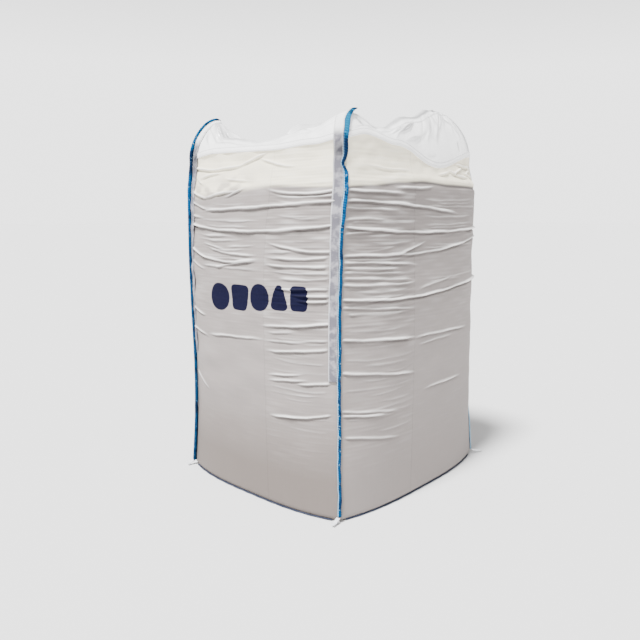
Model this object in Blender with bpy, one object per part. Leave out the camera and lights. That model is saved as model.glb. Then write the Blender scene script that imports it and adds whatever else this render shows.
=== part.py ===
"""A bulk bag of sugar, full and drawn shut, standing on its flat bottom.

Four woven panels meet at blue corner seams. Above the sugar the slack collar carries a thin film top,
which stands up in a soft ear over each corner and sags between them. Sizes are in metres, +Z is up, and
the printed front faces -Y. A place round the bag is a number from 0 to 4: corner 0 is front left,
1 front right, 2 back right and 3 back left, and 0.5 is the middle of the front panel.
"""

import bpy
import numpy as np

# The filled bag
FLOOR_HALF = 0.474  # middle of the bag to a corner, along X or Y, at the floor
SHOULDER_HALF = 0.450  # the same at the level of the sugar
FILL = 1.285  # height of the sugar against the walls
FLOOR_BULGE, BELLY_BULGE, SHOULDER_BULGE = 0.060, 0.024, 0.062  # the belly's comes on top of the others
BULGE_POWER = 3.0  # how square a panel's bulge is, where 2 is a plain curve
EDGE_ROUND = 0.026  # height and depth of the rounding along the floor
CORNER_SIGNS = np.array(((-1.0, -1.0), (1.0, -1.0), (1.0, 1.0), (-1.0, 1.0)))
SIDE_NORMALS = np.array(((0.0, -1.0), (1.0, 0.0), (0.0, 1.0), (-1.0, 0.0)))
FLOOR_DRAG = np.array(((0.020, -0.020), (0.012, -0.022), (-0.004, 0.004), (0.0, 0.0)))
SHOULDER_LEAN = np.array(((-0.004, 0.0), (0.022, 0.018), (0.004, 0.004), (0.0, 0.0)))
LEAN_POWER = 5.0  # how late on the way up a corner leans
WAIST = np.array((0.0060, 0.0, 0.0035, 0.0040))  # how far each corner draws in, low down
SWELL = np.array((0.0065, 0.0, 0.0, 0.0040))  # how far each corner stands out, in the upper half
PUFF_CORNER, PUFF, PUFF_REACH = 2, 0.020, 0.055  # cloth puffed out on both sides of one sunken seam

# Folds where the cloth has slid down on the sugar
FOLDS = 6
FOLD_PITCH = 0.062
FOLD_DEPTH = 0.007
FOLD_FADE = 0.86  # each fold's depth beside the one above it
FOLD_SAG = 0.022  # how much lower a fold hangs in the middle of a panel

# The slack collar, its upper edge by places round the bag, and the sugar heaped inside it
COLLAR_BULGE = 0.040
COLLAR_LEAN = 0.010
COLLAR_EDGE = (
    (0.0, 1.425), (0.2, 1.440), (0.62, 1.437), (0.85, 1.450), (1.0, 1.470), (1.1, 1.486), (1.3, 1.455),
    (1.62, 1.378), (2.0, 1.440), (2.35, 1.410), (2.7, 1.400), (3.0, 1.430), (3.5, 1.420),
)
HEAP = 1.400

# The film top: height of its rim and how far in the rim lies, as a share of the collar's size
RIM_HEIGHT = (
    (0.0, 1.588), (0.2, 1.502), (0.5, 1.478), (0.85, 1.515), (1.0, 1.562), (1.2, 1.518),
    (1.5, 1.575), (1.8, 1.630), (2.0, 1.638), (2.3, 1.560), (2.55, 1.500), (3.0, 1.645), (3.25, 1.625),
    (3.45, 1.540), (3.75, 1.488),
)
RIM_INSET = (
    (0.0, 0.82), (0.5, 0.84), (1.0, 0.90), (1.5, 0.82), (2.0, 0.715), (2.5, 0.84), (3.0, 0.84), (3.5, 0.85),
)
RISE_POWER = 0.87  # under 1, the film leans in sooner than a quarter round
FILM_MIDDLE = 1.455
PLEATS = 22
PLEAT_DEPTH = 0.007
EAR_LEAN = np.array(((0.0, 0.0), (0.021, 0.025), (0.0, 0.0), (-0.006, 0.0)))
FILM_FOLDS = (  # (start, end, rise, width) of soft folds across the film, in plan
    ((-0.38, -0.38), (0.10, 0.04), 0.012, 0.060), ((0.42, -0.42), (-0.02, 0.02), 0.014, 0.050),
    ((0.36, 0.36), (-0.06, -0.02), 0.020, 0.070), ((-0.38, 0.38), (0.02, 0.08), 0.020, 0.060),
    ((0.42, -0.12), (-0.18, -0.24), 0.014, 0.045), ((-0.42, 0.12), (0.16, 0.30), 0.016, 0.050),
    ((0.06, -0.42), (0.26, 0.14), 0.010, 0.040), ((-0.16, -0.42), (-0.30, 0.14), 0.010, 0.045),
)

# Trim
SEAM_WIDTH = 0.018
SEAM_STAND = (0.014, 0.012, 0.008, 0.012)  # how far each corner's seam stands out
SEAM_FOOT = 0.020  # height where a corner seam starts, above the tab
STRAP_NEAR, STRAP_WIDTH, STRAP_THICK = 0.015, 0.035, 0.003  # distance from the corner, then its size
STRAP_END = 0.555  # height of the stitched lower end
HEM_RADIUS = 0.004
TAB_WIDTH, TAB_THICK, TAB_TOP = 0.016, 0.005, 0.018
TAB_RUNS = np.array(((-0.004, -0.036), (0.008, -0.040), (0.030, 0.046), (-0.034, 0.030)))
GAP = 0.0005  # between pieces that touch in the real bag
LOOSE_GAP = 0.0012  # under trim that lies on a folded surface

# The grid
COLUMNS = 22
PLAIN_ROWS = (EDGE_ROUND, 0.11, 0.25, 0.40, STRAP_END, 0.68, 0.79)
CROWN_RINGS = (0.30, 0.60, 0.85)
RISE_STEPS, FALL_STEPS = 4, 6
HEM_STEPS = 13

MATERIALS = {
    "woven_cloth": ((0.60, 0.58, 0.57), 0.65),
    "film": ((0.90, 0.90, 0.89), 0.35),
    "blue_seam": ((0.02, 0.16, 0.42), 0.60),
    "webbing": ((0.62, 0.61, 0.64), 0.60),
    "navy_hem": ((0.02, 0.03, 0.10), 0.60),
    "white_tab": ((0.85, 0.85, 0.86), 0.60),
}


def clear_scene():
    for old in list(bpy.data.objects):
        bpy.data.objects.remove(old, do_unlink=True)


def material(name):
    """The named Principled material, made once."""
    made = bpy.data.materials.get(name)
    if made is None:
        colour, roughness = MATERIALS[name]
        made = bpy.data.materials.new(name)
        made.use_nodes = True
        shader = made.node_tree.nodes["Principled BSDF"]
        shader.inputs["Base Color"].default_value = (*colour, 1.0)
        shader.inputs["Roughness"].default_value = roughness
        shader.inputs["Metallic"].default_value = 0.0
    return made


def around(keys, place):
    """A value that eases from key to key round the bag. Each key is (place, value)."""
    places = np.array([key[0] for key in keys] + [keys[0][0] + 4.0])
    values = np.array([key[1] for key in keys] + [keys[0][1]])
    i = np.searchsorted(places, place, side="right") - 1
    t = (place - places[i]) / (places[i + 1] - places[i])
    return values[i] + (values[i + 1] - values[i]) * t * t * (3 - 2 * t)


def corner(k, height):
    """X and Y of corner k at each height: a dragged foot, a waist, a swell and a lean."""
    rise = np.clip(height / FILL, 0.0, 1.0)[:, None]
    slack = np.clip((height - FILL) / (HEAP - FILL), 0.0, 1.0)[:, None]
    half = SHOULDER_HALF + (FLOOR_HALF - SHOULDER_HALF) * (1 - rise) ** 2 - COLLAR_LEAN * slack
    half = half - np.where(rise[:, 0] < 0.5, WAIST[k], SWELL[k])[:, None] * np.sin(2 * np.pi * rise)
    return CORNER_SIGNS[k] * half + FLOOR_DRAG[k] * (1 - rise) ** 2 + SHOULDER_LEAN[k] * rise**LEAN_POWER


def wall(place, height):
    """Points on the smooth wall: straight from corner to corner, plus a bulge that is flat in the middle."""
    side = np.floor(place).astype(int) % 4
    s = (place - np.floor(place))[:, None]
    start, end = corner(side, height), corner((side + 1) % 4, height)
    rise = np.clip(height / FILL, 0.0, 1.0)
    slack = np.clip((height - FILL) / (HEAP - FILL), 0.0, 1.0)
    bulge = FLOOR_BULGE + (SHOULDER_BULGE - FLOOR_BULGE) * rise + BELLY_BULGE * 4 * rise * (1 - rise)
    bulge = bulge + (COLLAR_BULGE - SHOULDER_BULGE) * slack
    out = bulge * (1 - np.abs(2 * s[:, 0] - 1) ** BULGE_POWER)
    from_puff = np.abs(place - PUFF_CORNER) / (PUFF_REACH / (2 * SHOULDER_HALF))
    puff = PUFF * np.clip(3 * rise, 0.0, 1.0) * (0.65 + 0.75 * rise**2) * (1 - slack)
    out = out + puff * from_puff * np.exp(1 - from_puff)
    flat = start + (end - start) * s + SIDE_NORMALS[side] * out[:, None]
    return np.column_stack((flat, height))


def ring_places():
    """Places round the bag of the grid's columns. Each panel's first and last two lie at a strap's edges."""
    near = STRAP_NEAR / (2 * SHOULDER_HALF)
    far = (STRAP_NEAR + STRAP_WIDTH) / (2 * SHOULDER_HALF)
    panel = np.concatenate(([0.0, near], np.linspace(far, 1 - far, COLUMNS - 3), [1 - near]))
    return (np.arange(4)[:, None] + panel).ravel()


def off_corner(place):
    """0 at a corner and under the straps beside it, rising to 1 over the open panel."""
    s = place - np.floor(place)
    reach = np.minimum(s, 1 - s)
    t = np.clip((reach - 0.065) / 0.12, 0.0, 1.0)
    return t * t * (3 - 2 * t)


def fold_rows():
    """(height, depth) of a row along each fold's crest and one along the groove below it, top first."""
    rows = []
    for i in range(FOLDS):
        crest = FILL - 0.02 - i * FOLD_PITCH
        depth = FOLD_DEPTH * FOLD_FADE**i
        rows += [(crest, depth), (crest - 0.4 * FOLD_PITCH, -0.7 * depth)]
    return rows


def folded(place, height, depth):
    """A ring of the wall moved out or in by a fold that comes and goes and sags in each panel's middle."""
    s = place - np.floor(place)
    hang = FOLD_SAG * (1 - (2 * s - 1) ** 2) * (1.0 if depth else 0.0)
    ring = wall(place, height - hang)
    wave = 0.65 + 0.35 * np.sin(2 * np.pi * (1.5 * place + 7.0 * height))
    outward = ring[:, :2] / np.linalg.norm(ring[:, :2], axis=1, keepdims=True)
    ring[:, :2] += outward * (depth * wave * off_corner(place))[:, None]
    return ring


def wall_rings(place):
    """The cloth from the floor to the collar's edge, as rings of points."""
    rings = []
    for height, inset in ((0.0, EDGE_ROUND), (0.3 * EDGE_ROUND, 0.3 * EDGE_ROUND)):
        ring = wall(place, np.full(place.shape, height))
        ring[:, :2] *= 1 - inset / np.linalg.norm(ring[:, :2], axis=1, keepdims=True)
        rings.append(ring)
    rows = sorted([(height, 0.0) for height in PLAIN_ROWS] + fold_rows())
    rings += [folded(place, np.full(place.shape, height), depth) for height, depth in rows]
    edge = around(COLLAR_EDGE, place)
    for share in (0.1, 0.45, 0.75, 1.0):
        rings.append(wall(place, FILL + (edge - FILL) * share))
    return np.array(rings)


def crown_ring(place, share):
    """A ring of the surface between sugar and film, at a share of the collar's size: a low heap."""
    edge = around(COLLAR_EDGE, place)
    ring = wall(place, edge)
    ring[:, :2] *= share
    ring[:, 2] = HEAP + (edge - HEAP) * share**2
    return ring


def film_folds(flat):
    """Rise of the film at each plan point: a soft ridge along every fold, fading out at its two ends."""
    rise = np.zeros(len(flat))
    for start, end, lift, width in FILM_FOLDS:
        start, run = np.array(start), np.subtract(end, start)
        along = np.clip((flat - start) @ run / (run @ run), 0.0, 1.0)
        away = np.linalg.norm(flat - start - along[:, None] * run, axis=1)
        rise += lift * np.sin(np.pi * along) * np.exp(-((away / width) ** 2))
    return rise


def film_ring(place, share, height, pleat, lean, folds):
    """A ring of the film at a share of the collar's size: pleats near the rim, leaning ears, folds inside."""
    ring = wall(place, around(COLLAR_EDGE, place))
    ring[:, :2] *= share[:, None]
    nearest = np.round(place).astype(int)
    close = np.clip(1 - np.abs(place - nearest) / 0.3, 0.0, 1.0) ** 2
    ring[:, :2] += EAR_LEAN[nearest % 4] * (lean * close)[:, None]
    wave = np.sin(2 * np.pi * PLEATS * place / 4 + 2.0 * np.sin(3 * place))
    ring[:, 2] = height + pleat * PLEAT_DEPTH * wave * off_corner(place) + folds * film_folds(ring[:, :2])
    return ring


def film_rings(place):
    """The film: nearly a quarter round from the collar's edge to the rim, then a drop that flattens inwards."""
    edge = around(COLLAR_EDGE, place) + GAP
    rim = around(RIM_HEIGHT, place)
    inset = around(RIM_INSET, place)
    rings = [film_ring(place, np.ones(place.shape), edge, 0.0, 0.0, 0.0)]
    for step in range(1, RISE_STEPS + 1):
        t = step / RISE_STEPS
        share = 1 - (1 - inset) * (1 - np.cos(0.5 * np.pi * t)) ** RISE_POWER
        height = edge + (rim - edge) * np.sin(0.5 * np.pi * t)
        rings.append(film_ring(place, share, height, t, t**2, 0.0))
    for step in range(1, FALL_STEPS):
        t = step / FALL_STEPS
        height = rim + (FILM_MIDDLE - rim) * (1 - (1 - t) ** 4)
        rings.append(film_ring(place, inset * (1 - t), height, (1 - t) ** 2, (1 - t) ** 2, min(1.0, 3 * t)))
    return np.array(rings)


def mesh_object(name, points, faces, look, smooth=True):
    """A named object with its own mesh and material."""
    mesh = bpy.data.meshes.new(name)
    mesh.from_pydata([tuple(point) for point in points], [], faces)
    mesh.materials.append(material(look))
    if smooth:
        mesh.shade_smooth()
    made = bpy.data.objects.new(name, mesh)
    bpy.context.scene.collection.objects.link(made)
    return made


def closed_rings(name, rings, low, high, look, rising=True):
    """One solid from rings stacked upwards, closed by a fan to the low point and one to the high point.

    Each cell is split along one diagonal, rising or falling to the right, so that two pieces built on the
    same rings in opposite orders still have matching faces.
    """
    count, around_count = rings.shape[:2]
    points = np.concatenate((rings.reshape(-1, 3), [low], [high]))
    bottom, top = len(points) - 2, len(points) - 1
    faces = []
    for j in range(around_count):
        k = (j + 1) % around_count
        faces.append((bottom, k, j))
        faces.append((top, (count - 1) * around_count + j, (count - 1) * around_count + k))
        for i in range(count - 1):
            a, b = i * around_count, (i + 1) * around_count
            if rising:
                faces += [(a + j, a + k, b + k), (a + j, b + k, b + j)]
            else:
                faces += [(a + j, a + k, b + j), (a + k, b + k, b + j)]
    return mesh_object(name, points, faces, look)


def swept(name, centres, across, outward, profile, look, smooth=True):
    """One solid: a profile of (across, outward) offsets carried along a path, closed at both ends."""
    sections = [
        centre + profile[:, :1] * a + profile[:, 1:] * o
        for centre, a, o in zip(centres, across, outward)
    ]
    points = np.concatenate(sections)
    n = len(profile)
    faces = [tuple(range(n)), tuple(range(len(points) - 1, len(points) - n - 1, -1))]
    for i in range(len(sections) - 1):
        for j in range(n):
            k = (j + 1) % n
            faces.append((i * n + j, (i + 1) * n + j, (i + 1) * n + k, i * n + k))
    return mesh_object(name, points, faces, look, smooth)


def unit(vectors):
    return vectors / np.linalg.norm(vectors, axis=-1, keepdims=True)


def facing_out(across, path):
    """Unit normals of a band that runs up the bag, from its width and its path."""
    return unit(np.cross(across, unit(np.gradient(path, axis=0))))


def ellipse(width, thick, lift, sides=6):
    """A flattened round profile whose lower side lies lift above the surface."""
    angle = 2 * np.pi * np.arange(sides) / sides
    return np.column_stack((0.5 * width * np.cos(angle), lift + thick / 2 + 0.5 * thick * np.sin(angle)))


def rectangle(width, thick, lift):
    half = width / 2
    return np.array(((-half, lift), (half, lift), (half, lift + thick), (-half, lift + thick)))


def make_seams(rings):
    """A blue seam up each corner, from above the tab, over the collar and to the tip of the ear."""
    for k in range(4):
        path = rings[:, k * COLUMNS]
        path = path[path[:, 2].argmin() + (path[:, 2] < SEAM_FOOT).sum() :]
        across = np.tile(unit(np.array((-CORNER_SIGNS[k, 1], CORNER_SIGNS[k, 0], 0.0))), (len(path), 1))
        profile = ellipse(SEAM_WIDTH, SEAM_STAND[k], LOOSE_GAP)
        swept(f"corner_seam_{k + 1}", path, across, facing_out(across, path), profile, "blue_seam")


def make_straps(rings):
    """Webbing stitched beside each seam of the front and back panels, from STRAP_END up and over the ear."""
    number = 0
    for side in (0, 2):
        for inner, outer in ((1, 2), (COLUMNS - 2, COLUMNS - 1)):
            number += 1
            low, high = rings[:, side * COLUMNS + inner], rings[:, side * COLUMNS + outer]
            keep = np.arange(len(low)) >= (low[:, 2] < STRAP_END - 0.001).sum()
            low, high = low[keep], high[keep]
            path = (low + high) / 2
            across = unit(high - low)
            profile = rectangle(0.94 * STRAP_WIDTH, STRAP_THICK, 2 * LOOSE_GAP)
            outward = facing_out(across, path)
            swept(f"lifting_strap_{number}", path, across, outward, profile, "webbing", False)


def make_hems():
    """A navy hem along the floor under each panel's overhang."""
    for side in range(4):
        along = np.linspace(side + 0.03, side + 0.97, HEM_STEPS)
        ring = wall(along, np.full(along.shape, HEM_RADIUS + GAP))
        outward = unit(ring * (1, 1, 0))
        ring = ring - outward * 0.1 * EDGE_ROUND
        profile = ellipse(2 * HEM_RADIUS, 2 * HEM_RADIUS, -HEM_RADIUS)
        up = np.tile((0.0, 0.0, 1.0), (len(ring), 1))
        swept(f"floor_hem_{side + 1}", ring, outward, up, profile, "navy_hem")


def make_tabs():
    """A white tab at each foot, from the end of the corner seam down to the floor."""
    for k in range(4):
        foot = np.array((*corner(np.array([k]), np.array([TAB_TOP]))[0], TAB_TOP))
        run = np.array((*TAB_RUNS[k], 0.0))
        outward = unit(run)
        start = foot + outward * (TAB_THICK + 2 * LOOSE_GAP)
        steps = np.linspace(0.0, 1.0, 5)[:, None]
        drop = TAB_TOP - TAB_THICK - 0.001
        path = start + run * steps - np.array((0.0, 0.0, drop)) * steps**0.8
        across = np.tile((-outward[1], outward[0], 0.0), (len(path), 1))
        swept(
            f"corner_tab_{k + 1}", path, -across, facing_out(-across, path),
            rectangle(TAB_WIDTH, TAB_THICK, 0.0), "white_tab", False,
        )


def main():
    clear_scene()
    place = ring_places()
    cloth, film = wall_rings(place), film_rings(place)
    crown = np.array([crown_ring(place, share) for share in CROWN_RINGS])
    closed_rings(
        "filled_sack", np.concatenate((cloth, crown[::-1])), (0.0, 0.0, 0.0), (0.0, 0.0, HEAP), "woven_cloth"
    )
    lifted = crown + (0.0, 0.0, GAP)
    closed_rings(
        "film_top", np.concatenate((lifted, film)), (0.0, 0.0, HEAP + GAP), (0.0, 0.0, FILM_MIDDLE), "film",
        rising=False,
    )
    upright = np.concatenate((cloth, film[1 : RISE_STEPS + 1]))
    make_seams(upright)
    make_straps(upright)
    make_hems()
    make_tabs()


main()
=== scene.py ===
"""A bulk bag of sugar, drawn shut and standing on its flat bottom, as a lesson in cells.

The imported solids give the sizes. Each soft piece is then made again as a fine surface worked out with
numpy: a wall position from two numbers, the place round the bag and the height, moved along its normal
by the folds of the cloth.
"""

# %% [markdown]
# # A woven bulk bag full of sugar
# The real bag is four panels of woven plastic tape, sewn together at blue overlocked corner seams, with
# webbing for the lifting loops laid beside the seams. The sugar presses the panels out into soft bulges.
# Above the sugar the cloth is slack, and a thin white film top stands up in an ear over each corner.
# The frame comes first: it holds the solids at their true size, and everything here is fitted to it.

# %% Load the frame
import math

import bpy
import numpy as np
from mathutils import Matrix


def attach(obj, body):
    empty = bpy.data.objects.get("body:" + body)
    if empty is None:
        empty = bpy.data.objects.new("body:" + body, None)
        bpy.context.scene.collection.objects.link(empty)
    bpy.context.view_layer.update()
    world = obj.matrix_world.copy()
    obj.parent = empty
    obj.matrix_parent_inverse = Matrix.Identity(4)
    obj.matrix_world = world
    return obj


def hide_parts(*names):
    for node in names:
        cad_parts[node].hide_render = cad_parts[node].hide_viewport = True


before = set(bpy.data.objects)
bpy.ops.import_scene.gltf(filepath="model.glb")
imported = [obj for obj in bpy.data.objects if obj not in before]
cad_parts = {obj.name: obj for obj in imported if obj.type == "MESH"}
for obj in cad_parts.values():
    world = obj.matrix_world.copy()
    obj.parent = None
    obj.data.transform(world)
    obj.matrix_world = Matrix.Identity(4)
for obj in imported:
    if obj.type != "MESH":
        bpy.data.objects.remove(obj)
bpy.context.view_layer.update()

# %% [markdown]
# ## Sizes
# All lengths are in metres. A place round the bag is a number from 0 to 4: corner 0 is front left,
# 1 front right, 2 back right and 3 back left, so 0.5 is the middle of the printed front panel. Values
# that change round the bag are short lists of (place, value), eased from one to the next.

# %% Sizes of the filled bag
FLOOR_HALF, SHOULDER_HALF = 0.474, 0.450
FILL, HEAP = 1.285, 1.400
FLOOR_BULGE, BELLY_BULGE, SHOULDER_BULGE, COLLAR_BULGE = 0.060, 0.024, 0.062, 0.040
BULGE_POWER = 3.0
EDGE_ROUND = 0.026
COLLAR_LEAN = 0.010
CORNER_SIGNS = np.array(((-1.0, -1.0), (1.0, -1.0), (1.0, 1.0), (-1.0, 1.0)))
SIDE_NORMALS = np.array(((0.0, -1.0), (1.0, 0.0), (0.0, 1.0), (-1.0, 0.0)))
FLOOR_DRAG = np.array(((0.020, -0.020), (0.012, -0.022), (-0.004, 0.004), (0.0, 0.0)))
SHOULDER_LEAN = np.array(((-0.004, 0.0), (0.022, 0.018), (0.004, 0.004), (0.0, 0.0)))
LEAN_POWER = 5.0
WAIST, SWELL = np.array((0.0060, 0.0, 0.0035, 0.0040)), np.array((0.0065, 0.0, 0.0, 0.0040))
PUFF_CORNER, PUFF, PUFF_REACH = 2, 0.020, 0.055
COLLAR_EDGE = (
    (0.0, 1.425), (0.2, 1.440), (0.62, 1.437), (0.85, 1.450), (1.0, 1.470), (1.1, 1.486), (1.3, 1.455),
    (1.62, 1.378), (2.0, 1.440), (2.35, 1.410), (2.7, 1.400), (3.0, 1.430), (3.5, 1.420),
)

# %% Sizes of the film top
RIM_HEIGHT = (
    (0.0, 1.588), (0.2, 1.502), (0.5, 1.478), (0.85, 1.515), (1.0, 1.562), (1.2, 1.518),
    (1.5, 1.575), (1.8, 1.630), (2.0, 1.638), (2.3, 1.560), (2.55, 1.500), (3.0, 1.645), (3.25, 1.625),
    (3.45, 1.540), (3.75, 1.488),
)
RIM_INSET = (
    (0.0, 0.82), (0.5, 0.84), (1.0, 0.90), (1.5, 0.82), (2.0, 0.715), (2.5, 0.84), (3.0, 0.84), (3.5, 0.85),
)
EAR_LEAN = np.array(((0.0, 0.0), (0.021, 0.025), (0.0, 0.0), (-0.006, 0.0)))
RISE_POWER, FILM_MIDDLE = 0.87, 1.455

# %% [markdown]
# ## The smooth wall
# Cloth under pressure is straight from seam to seam plus a bulge, and the bulge is flat in the middle and
# steep near the seams, because sugar presses evenly while the corners hold. A power curve does that. The
# same function serves the panels, the seams, the webbing and the film, so they all meet.


# %% The wall function
def eased(t):
    """Smooth step: 3 t squared minus 2 t cubed, with t kept between 0 and 1."""
    t = np.clip(t, 0.0, 1.0)
    return t * t * (3 - 2 * t)


def around(keys, place):
    """A value that eases from key to key round the bag."""
    place = np.mod(place, 4.0)
    places = np.array([key[0] for key in keys] + [keys[0][0] + 4.0])
    values = np.array([key[1] for key in keys] + [keys[0][1]])
    i = np.clip(np.searchsorted(places, place, side="right") - 1, 0, len(keys) - 1)
    return values[i] + (values[i + 1] - values[i]) * eased((place - places[i]) / (places[i + 1] - places[i]))


def corner(k, height):
    """Corner k in plan: a half width that shrinks with the square of the way up, with a sine for waist and
    swell, plus the drag of the foot and a lean that grows with the fifth power of the way up."""
    rise = np.clip(height / FILL, 0.0, 1.0)[..., None]
    slack = np.clip((height - FILL) / (HEAP - FILL), 0.0, 1.0)[..., None]
    half = SHOULDER_HALF + (FLOOR_HALF - SHOULDER_HALF) * (1 - rise) ** 2 - COLLAR_LEAN * slack
    half = half - np.where(rise[..., 0] < 0.5, WAIST[k], SWELL[k])[..., None] * np.sin(2 * np.pi * rise)
    return CORNER_SIGNS[k] * half + FLOOR_DRAG[k] * (1 - rise) ** 2 + SHOULDER_LEAN[k] * rise**LEAN_POWER


def wall(place, height):
    """Chord from corner to corner, plus bulge times (1 - |2s - 1| cubed), plus a puff beside one seam."""
    side = np.clip(np.floor(place), 0, 3).astype(int)
    s = place - side
    start, end = corner(side, height), corner((side + 1) % 4, height)
    rise = np.clip(height / FILL, 0.0, 1.0)
    slack = np.clip((height - FILL) / (HEAP - FILL), 0.0, 1.0)
    bulge = FLOOR_BULGE + (SHOULDER_BULGE - FLOOR_BULGE) * rise + BELLY_BULGE * 4 * rise * (1 - rise)
    bulge = bulge + (COLLAR_BULGE - SHOULDER_BULGE) * slack
    out = bulge * (1 - np.abs(2 * s - 1) ** BULGE_POWER)
    from_puff = np.abs(place - PUFF_CORNER) / (PUFF_REACH / (2 * SHOULDER_HALF))
    puff = PUFF * np.clip(3 * rise, 0.0, 1.0) * (0.65 + 0.75 * rise**2) * (1 - slack)
    out = out + puff * from_puff * np.exp(1 - from_puff)
    flat = start + (end - start) * s[..., None] + SIDE_NORMALS[side] * out[..., None]
    return np.concatenate((flat, height[..., None]), axis=-1)


print("front panel's middle at half height:", wall(np.array([0.5]), np.array([FILL / 2])).round(3))

# %% [markdown]
# ## Folds in the cloth
# A fold is a thin ridge with a hollow just below it, running nearly level across a panel, because the
# cloth has slid down a little on the sugar. Each is one row of six numbers: where it starts and ends
# across the panel, its height at both ends, how far its middle hangs below the straight line, and how
# far it stands out. The strong ones are listed one by one, and the fine ones are drawn from a seeded
# generator, closer together towards the sugar's surface.

# %% Folds listed one by one
FRONT_FOLDS = (  # start, end, height at start, height at end, sag, rise
    (0.60, 0.97, 1.288, 1.280, 0.018, 0.0080), (0.64, 0.96, 1.262, 1.262, 0.010, 0.0050),
    (0.13, 0.97, 1.196, 1.240, 0.004, 0.0100), (0.03, 0.97, 1.137, 1.150, 0.026, 0.0100),
    (0.03, 0.60, 1.035, 1.012, 0.034, 0.0080), (0.18, 0.60, 1.050, 1.026, 0.014, 0.0050),
    (0.26, 0.60, 0.952, 1.000, -0.008, 0.0065), (0.62, 0.97, 1.082, 1.050, 0.012, 0.0060),
    (0.62, 0.95, 1.020, 1.028, 0.006, 0.0060), (0.62, 0.95, 0.993, 0.994, 0.005, 0.0060),
    (0.66, 0.96, 0.963, 0.968, 0.002, 0.0045), (0.70, 0.96, 0.938, 0.948, 0.002, 0.0045),
    (0.66, 0.96, 0.900, 0.910, 0.003, 0.0055), (0.78, 0.96, 0.877, 0.881, 0.000, 0.0065),
    (0.80, 0.96, 0.856, 0.864, 0.002, 0.0070), (0.61, 0.97, 0.747, 0.778, 0.005, 0.0085),
    (0.64, 0.82, 0.720, 0.736, 0.000, 0.0035), (0.20, 0.64, 0.662, 0.688, -0.004, 0.0055),
    (0.62, 0.96, 0.684, 0.712, 0.002, 0.0035), (0.63, 0.96, 0.646, 0.678, 0.003, 0.0065),
    (0.64, 0.86, 0.549, 0.574, 0.001, 0.0055), (0.64, 0.88, 0.529, 0.553, 0.002, 0.0050),
    (0.80, 0.97, 0.531, 0.546, 0.001, 0.0070), (0.64, 0.97, 0.384, 0.422, 0.008, 0.0070),
)
FRONT_CRUMPLES = (
    (0.14, 0.38, 1.250, 1.285, 0.004, 0.0060), (0.32, 0.49, 1.250, 1.294, 0.000, 0.0055),
    (0.22, 0.44, 1.262, 1.276, -0.004, 0.0040), (0.02, 0.20, 1.285, 1.246, 0.004, 0.0060),
    (0.02, 0.22, 1.238, 1.200, 0.004, 0.0060), (0.02, 0.20, 0.978, 0.945, 0.003, 0.0045),
    (0.01, 0.20, 0.765, 0.742, 0.003, 0.0050), (0.01, 0.21, 0.675, 0.652, 0.003, 0.0055),
    (0.01, 0.21, 0.466, 0.406, 0.002, 0.0045), (0.03, 0.18, 1.176, 1.168, 0.002, 0.0040),
    (0.16, 0.36, 1.060, 1.040, 0.000, 0.0045), (0.36, 0.58, 1.052, 1.066, 0.004, 0.0035),
)
COLLAR_FOLDS = (  # the same six numbers, one tuple of rows for each panel
    ((0.03, 0.46, 1.382, 1.388, 0.016, 0.0060), (0.40, 0.60, 1.380, 1.436, 0.004, 0.0055),
     (0.52, 0.78, 1.412, 1.368, 0.010, 0.0040), (0.04, 0.16, 1.345, 1.305, 0.004, 0.0050),
     (0.08, 0.30, 1.330, 1.352, -0.006, 0.0035), (0.30, 0.52, 1.335, 1.318, 0.006, 0.0030)),
    ((0.60, 0.74, 1.345, 1.368, 0.003, 0.0045), (0.70, 0.92, 1.372, 1.340, 0.008, 0.0060),
     (0.78, 0.96, 1.402, 1.388, 0.006, 0.0070), (0.10, 0.40, 1.372, 1.360, 0.006, 0.0025),
     (0.74, 0.88, 1.350, 1.392, 0.004, 0.0055), (0.84, 0.97, 1.368, 1.342, 0.003, 0.0060),
     (0.88, 0.98, 1.352, 1.396, 0.002, 0.0055)),
    ((0.10, 0.42, 1.370, 1.352, 0.008, 0.0045), (0.55, 0.90, 1.345, 1.372, 0.008, 0.0045)),
    ((0.08, 0.40, 1.352, 1.370, 0.008, 0.0045), (0.50, 0.82, 1.366, 1.346, 0.006, 0.0045)),
)
RIGHT_FOLDS = (
    (0.00, 0.34, 1.280, 1.270, 0.001, 0.0075), (0.24, 0.56, 1.292, 1.296, 0.004, 0.0060),
    (0.00, 0.78, 1.242, 1.184, -0.008, 0.0095), (0.00, 0.30, 1.216, 1.206, 0.002, 0.0040),
    (0.00, 0.22, 1.172, 1.168, -0.003, 0.0050), (0.00, 1.00, 1.144, 1.120, 0.020, 0.0105),
    (0.00, 0.20, 1.116, 1.124, -0.002, 0.0045), (0.28, 0.50, 1.030, 1.078, 0.000, 0.0065),
    (0.28, 0.98, 1.030, 1.084, 0.018, 0.0080), (0.00, 0.40, 1.036, 1.026, -0.001, 0.0055),
    (0.00, 0.44, 1.012, 0.982, -0.004, 0.0070), (0.00, 0.30, 0.990, 0.976, 0.000, 0.0045),
    (0.00, 0.34, 0.974, 0.956, 0.000, 0.0045), (0.00, 0.40, 0.953, 0.926, 0.000, 0.0050),
    (0.00, 0.42, 0.926, 0.914, 0.003, 0.0065), (0.42, 0.72, 0.884, 0.916, 0.000, 0.0040),
    (0.00, 1.00, 0.872, 0.898, 0.030, 0.0120), (0.00, 0.42, 0.840, 0.808, 0.000, 0.0050),
    (0.00, 0.42, 0.717, 0.686, 0.002, 0.0095), (0.38, 0.88, 0.684, 0.672, -0.004, 0.0065),
    (0.42, 0.72, 0.652, 0.660, 0.000, 0.0040), (0.00, 0.42, 0.590, 0.538, 0.003, 0.0070),
    (0.46, 0.82, 0.452, 0.452, -0.004, 0.0045), (0.00, 0.32, 0.438, 0.396, 0.000, 0.0040),
    (0.00, 0.26, 0.421, 0.392, 0.001, 0.0055), (0.02, 0.32, 0.334, 0.282, 0.000, 0.0045),
)
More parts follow.
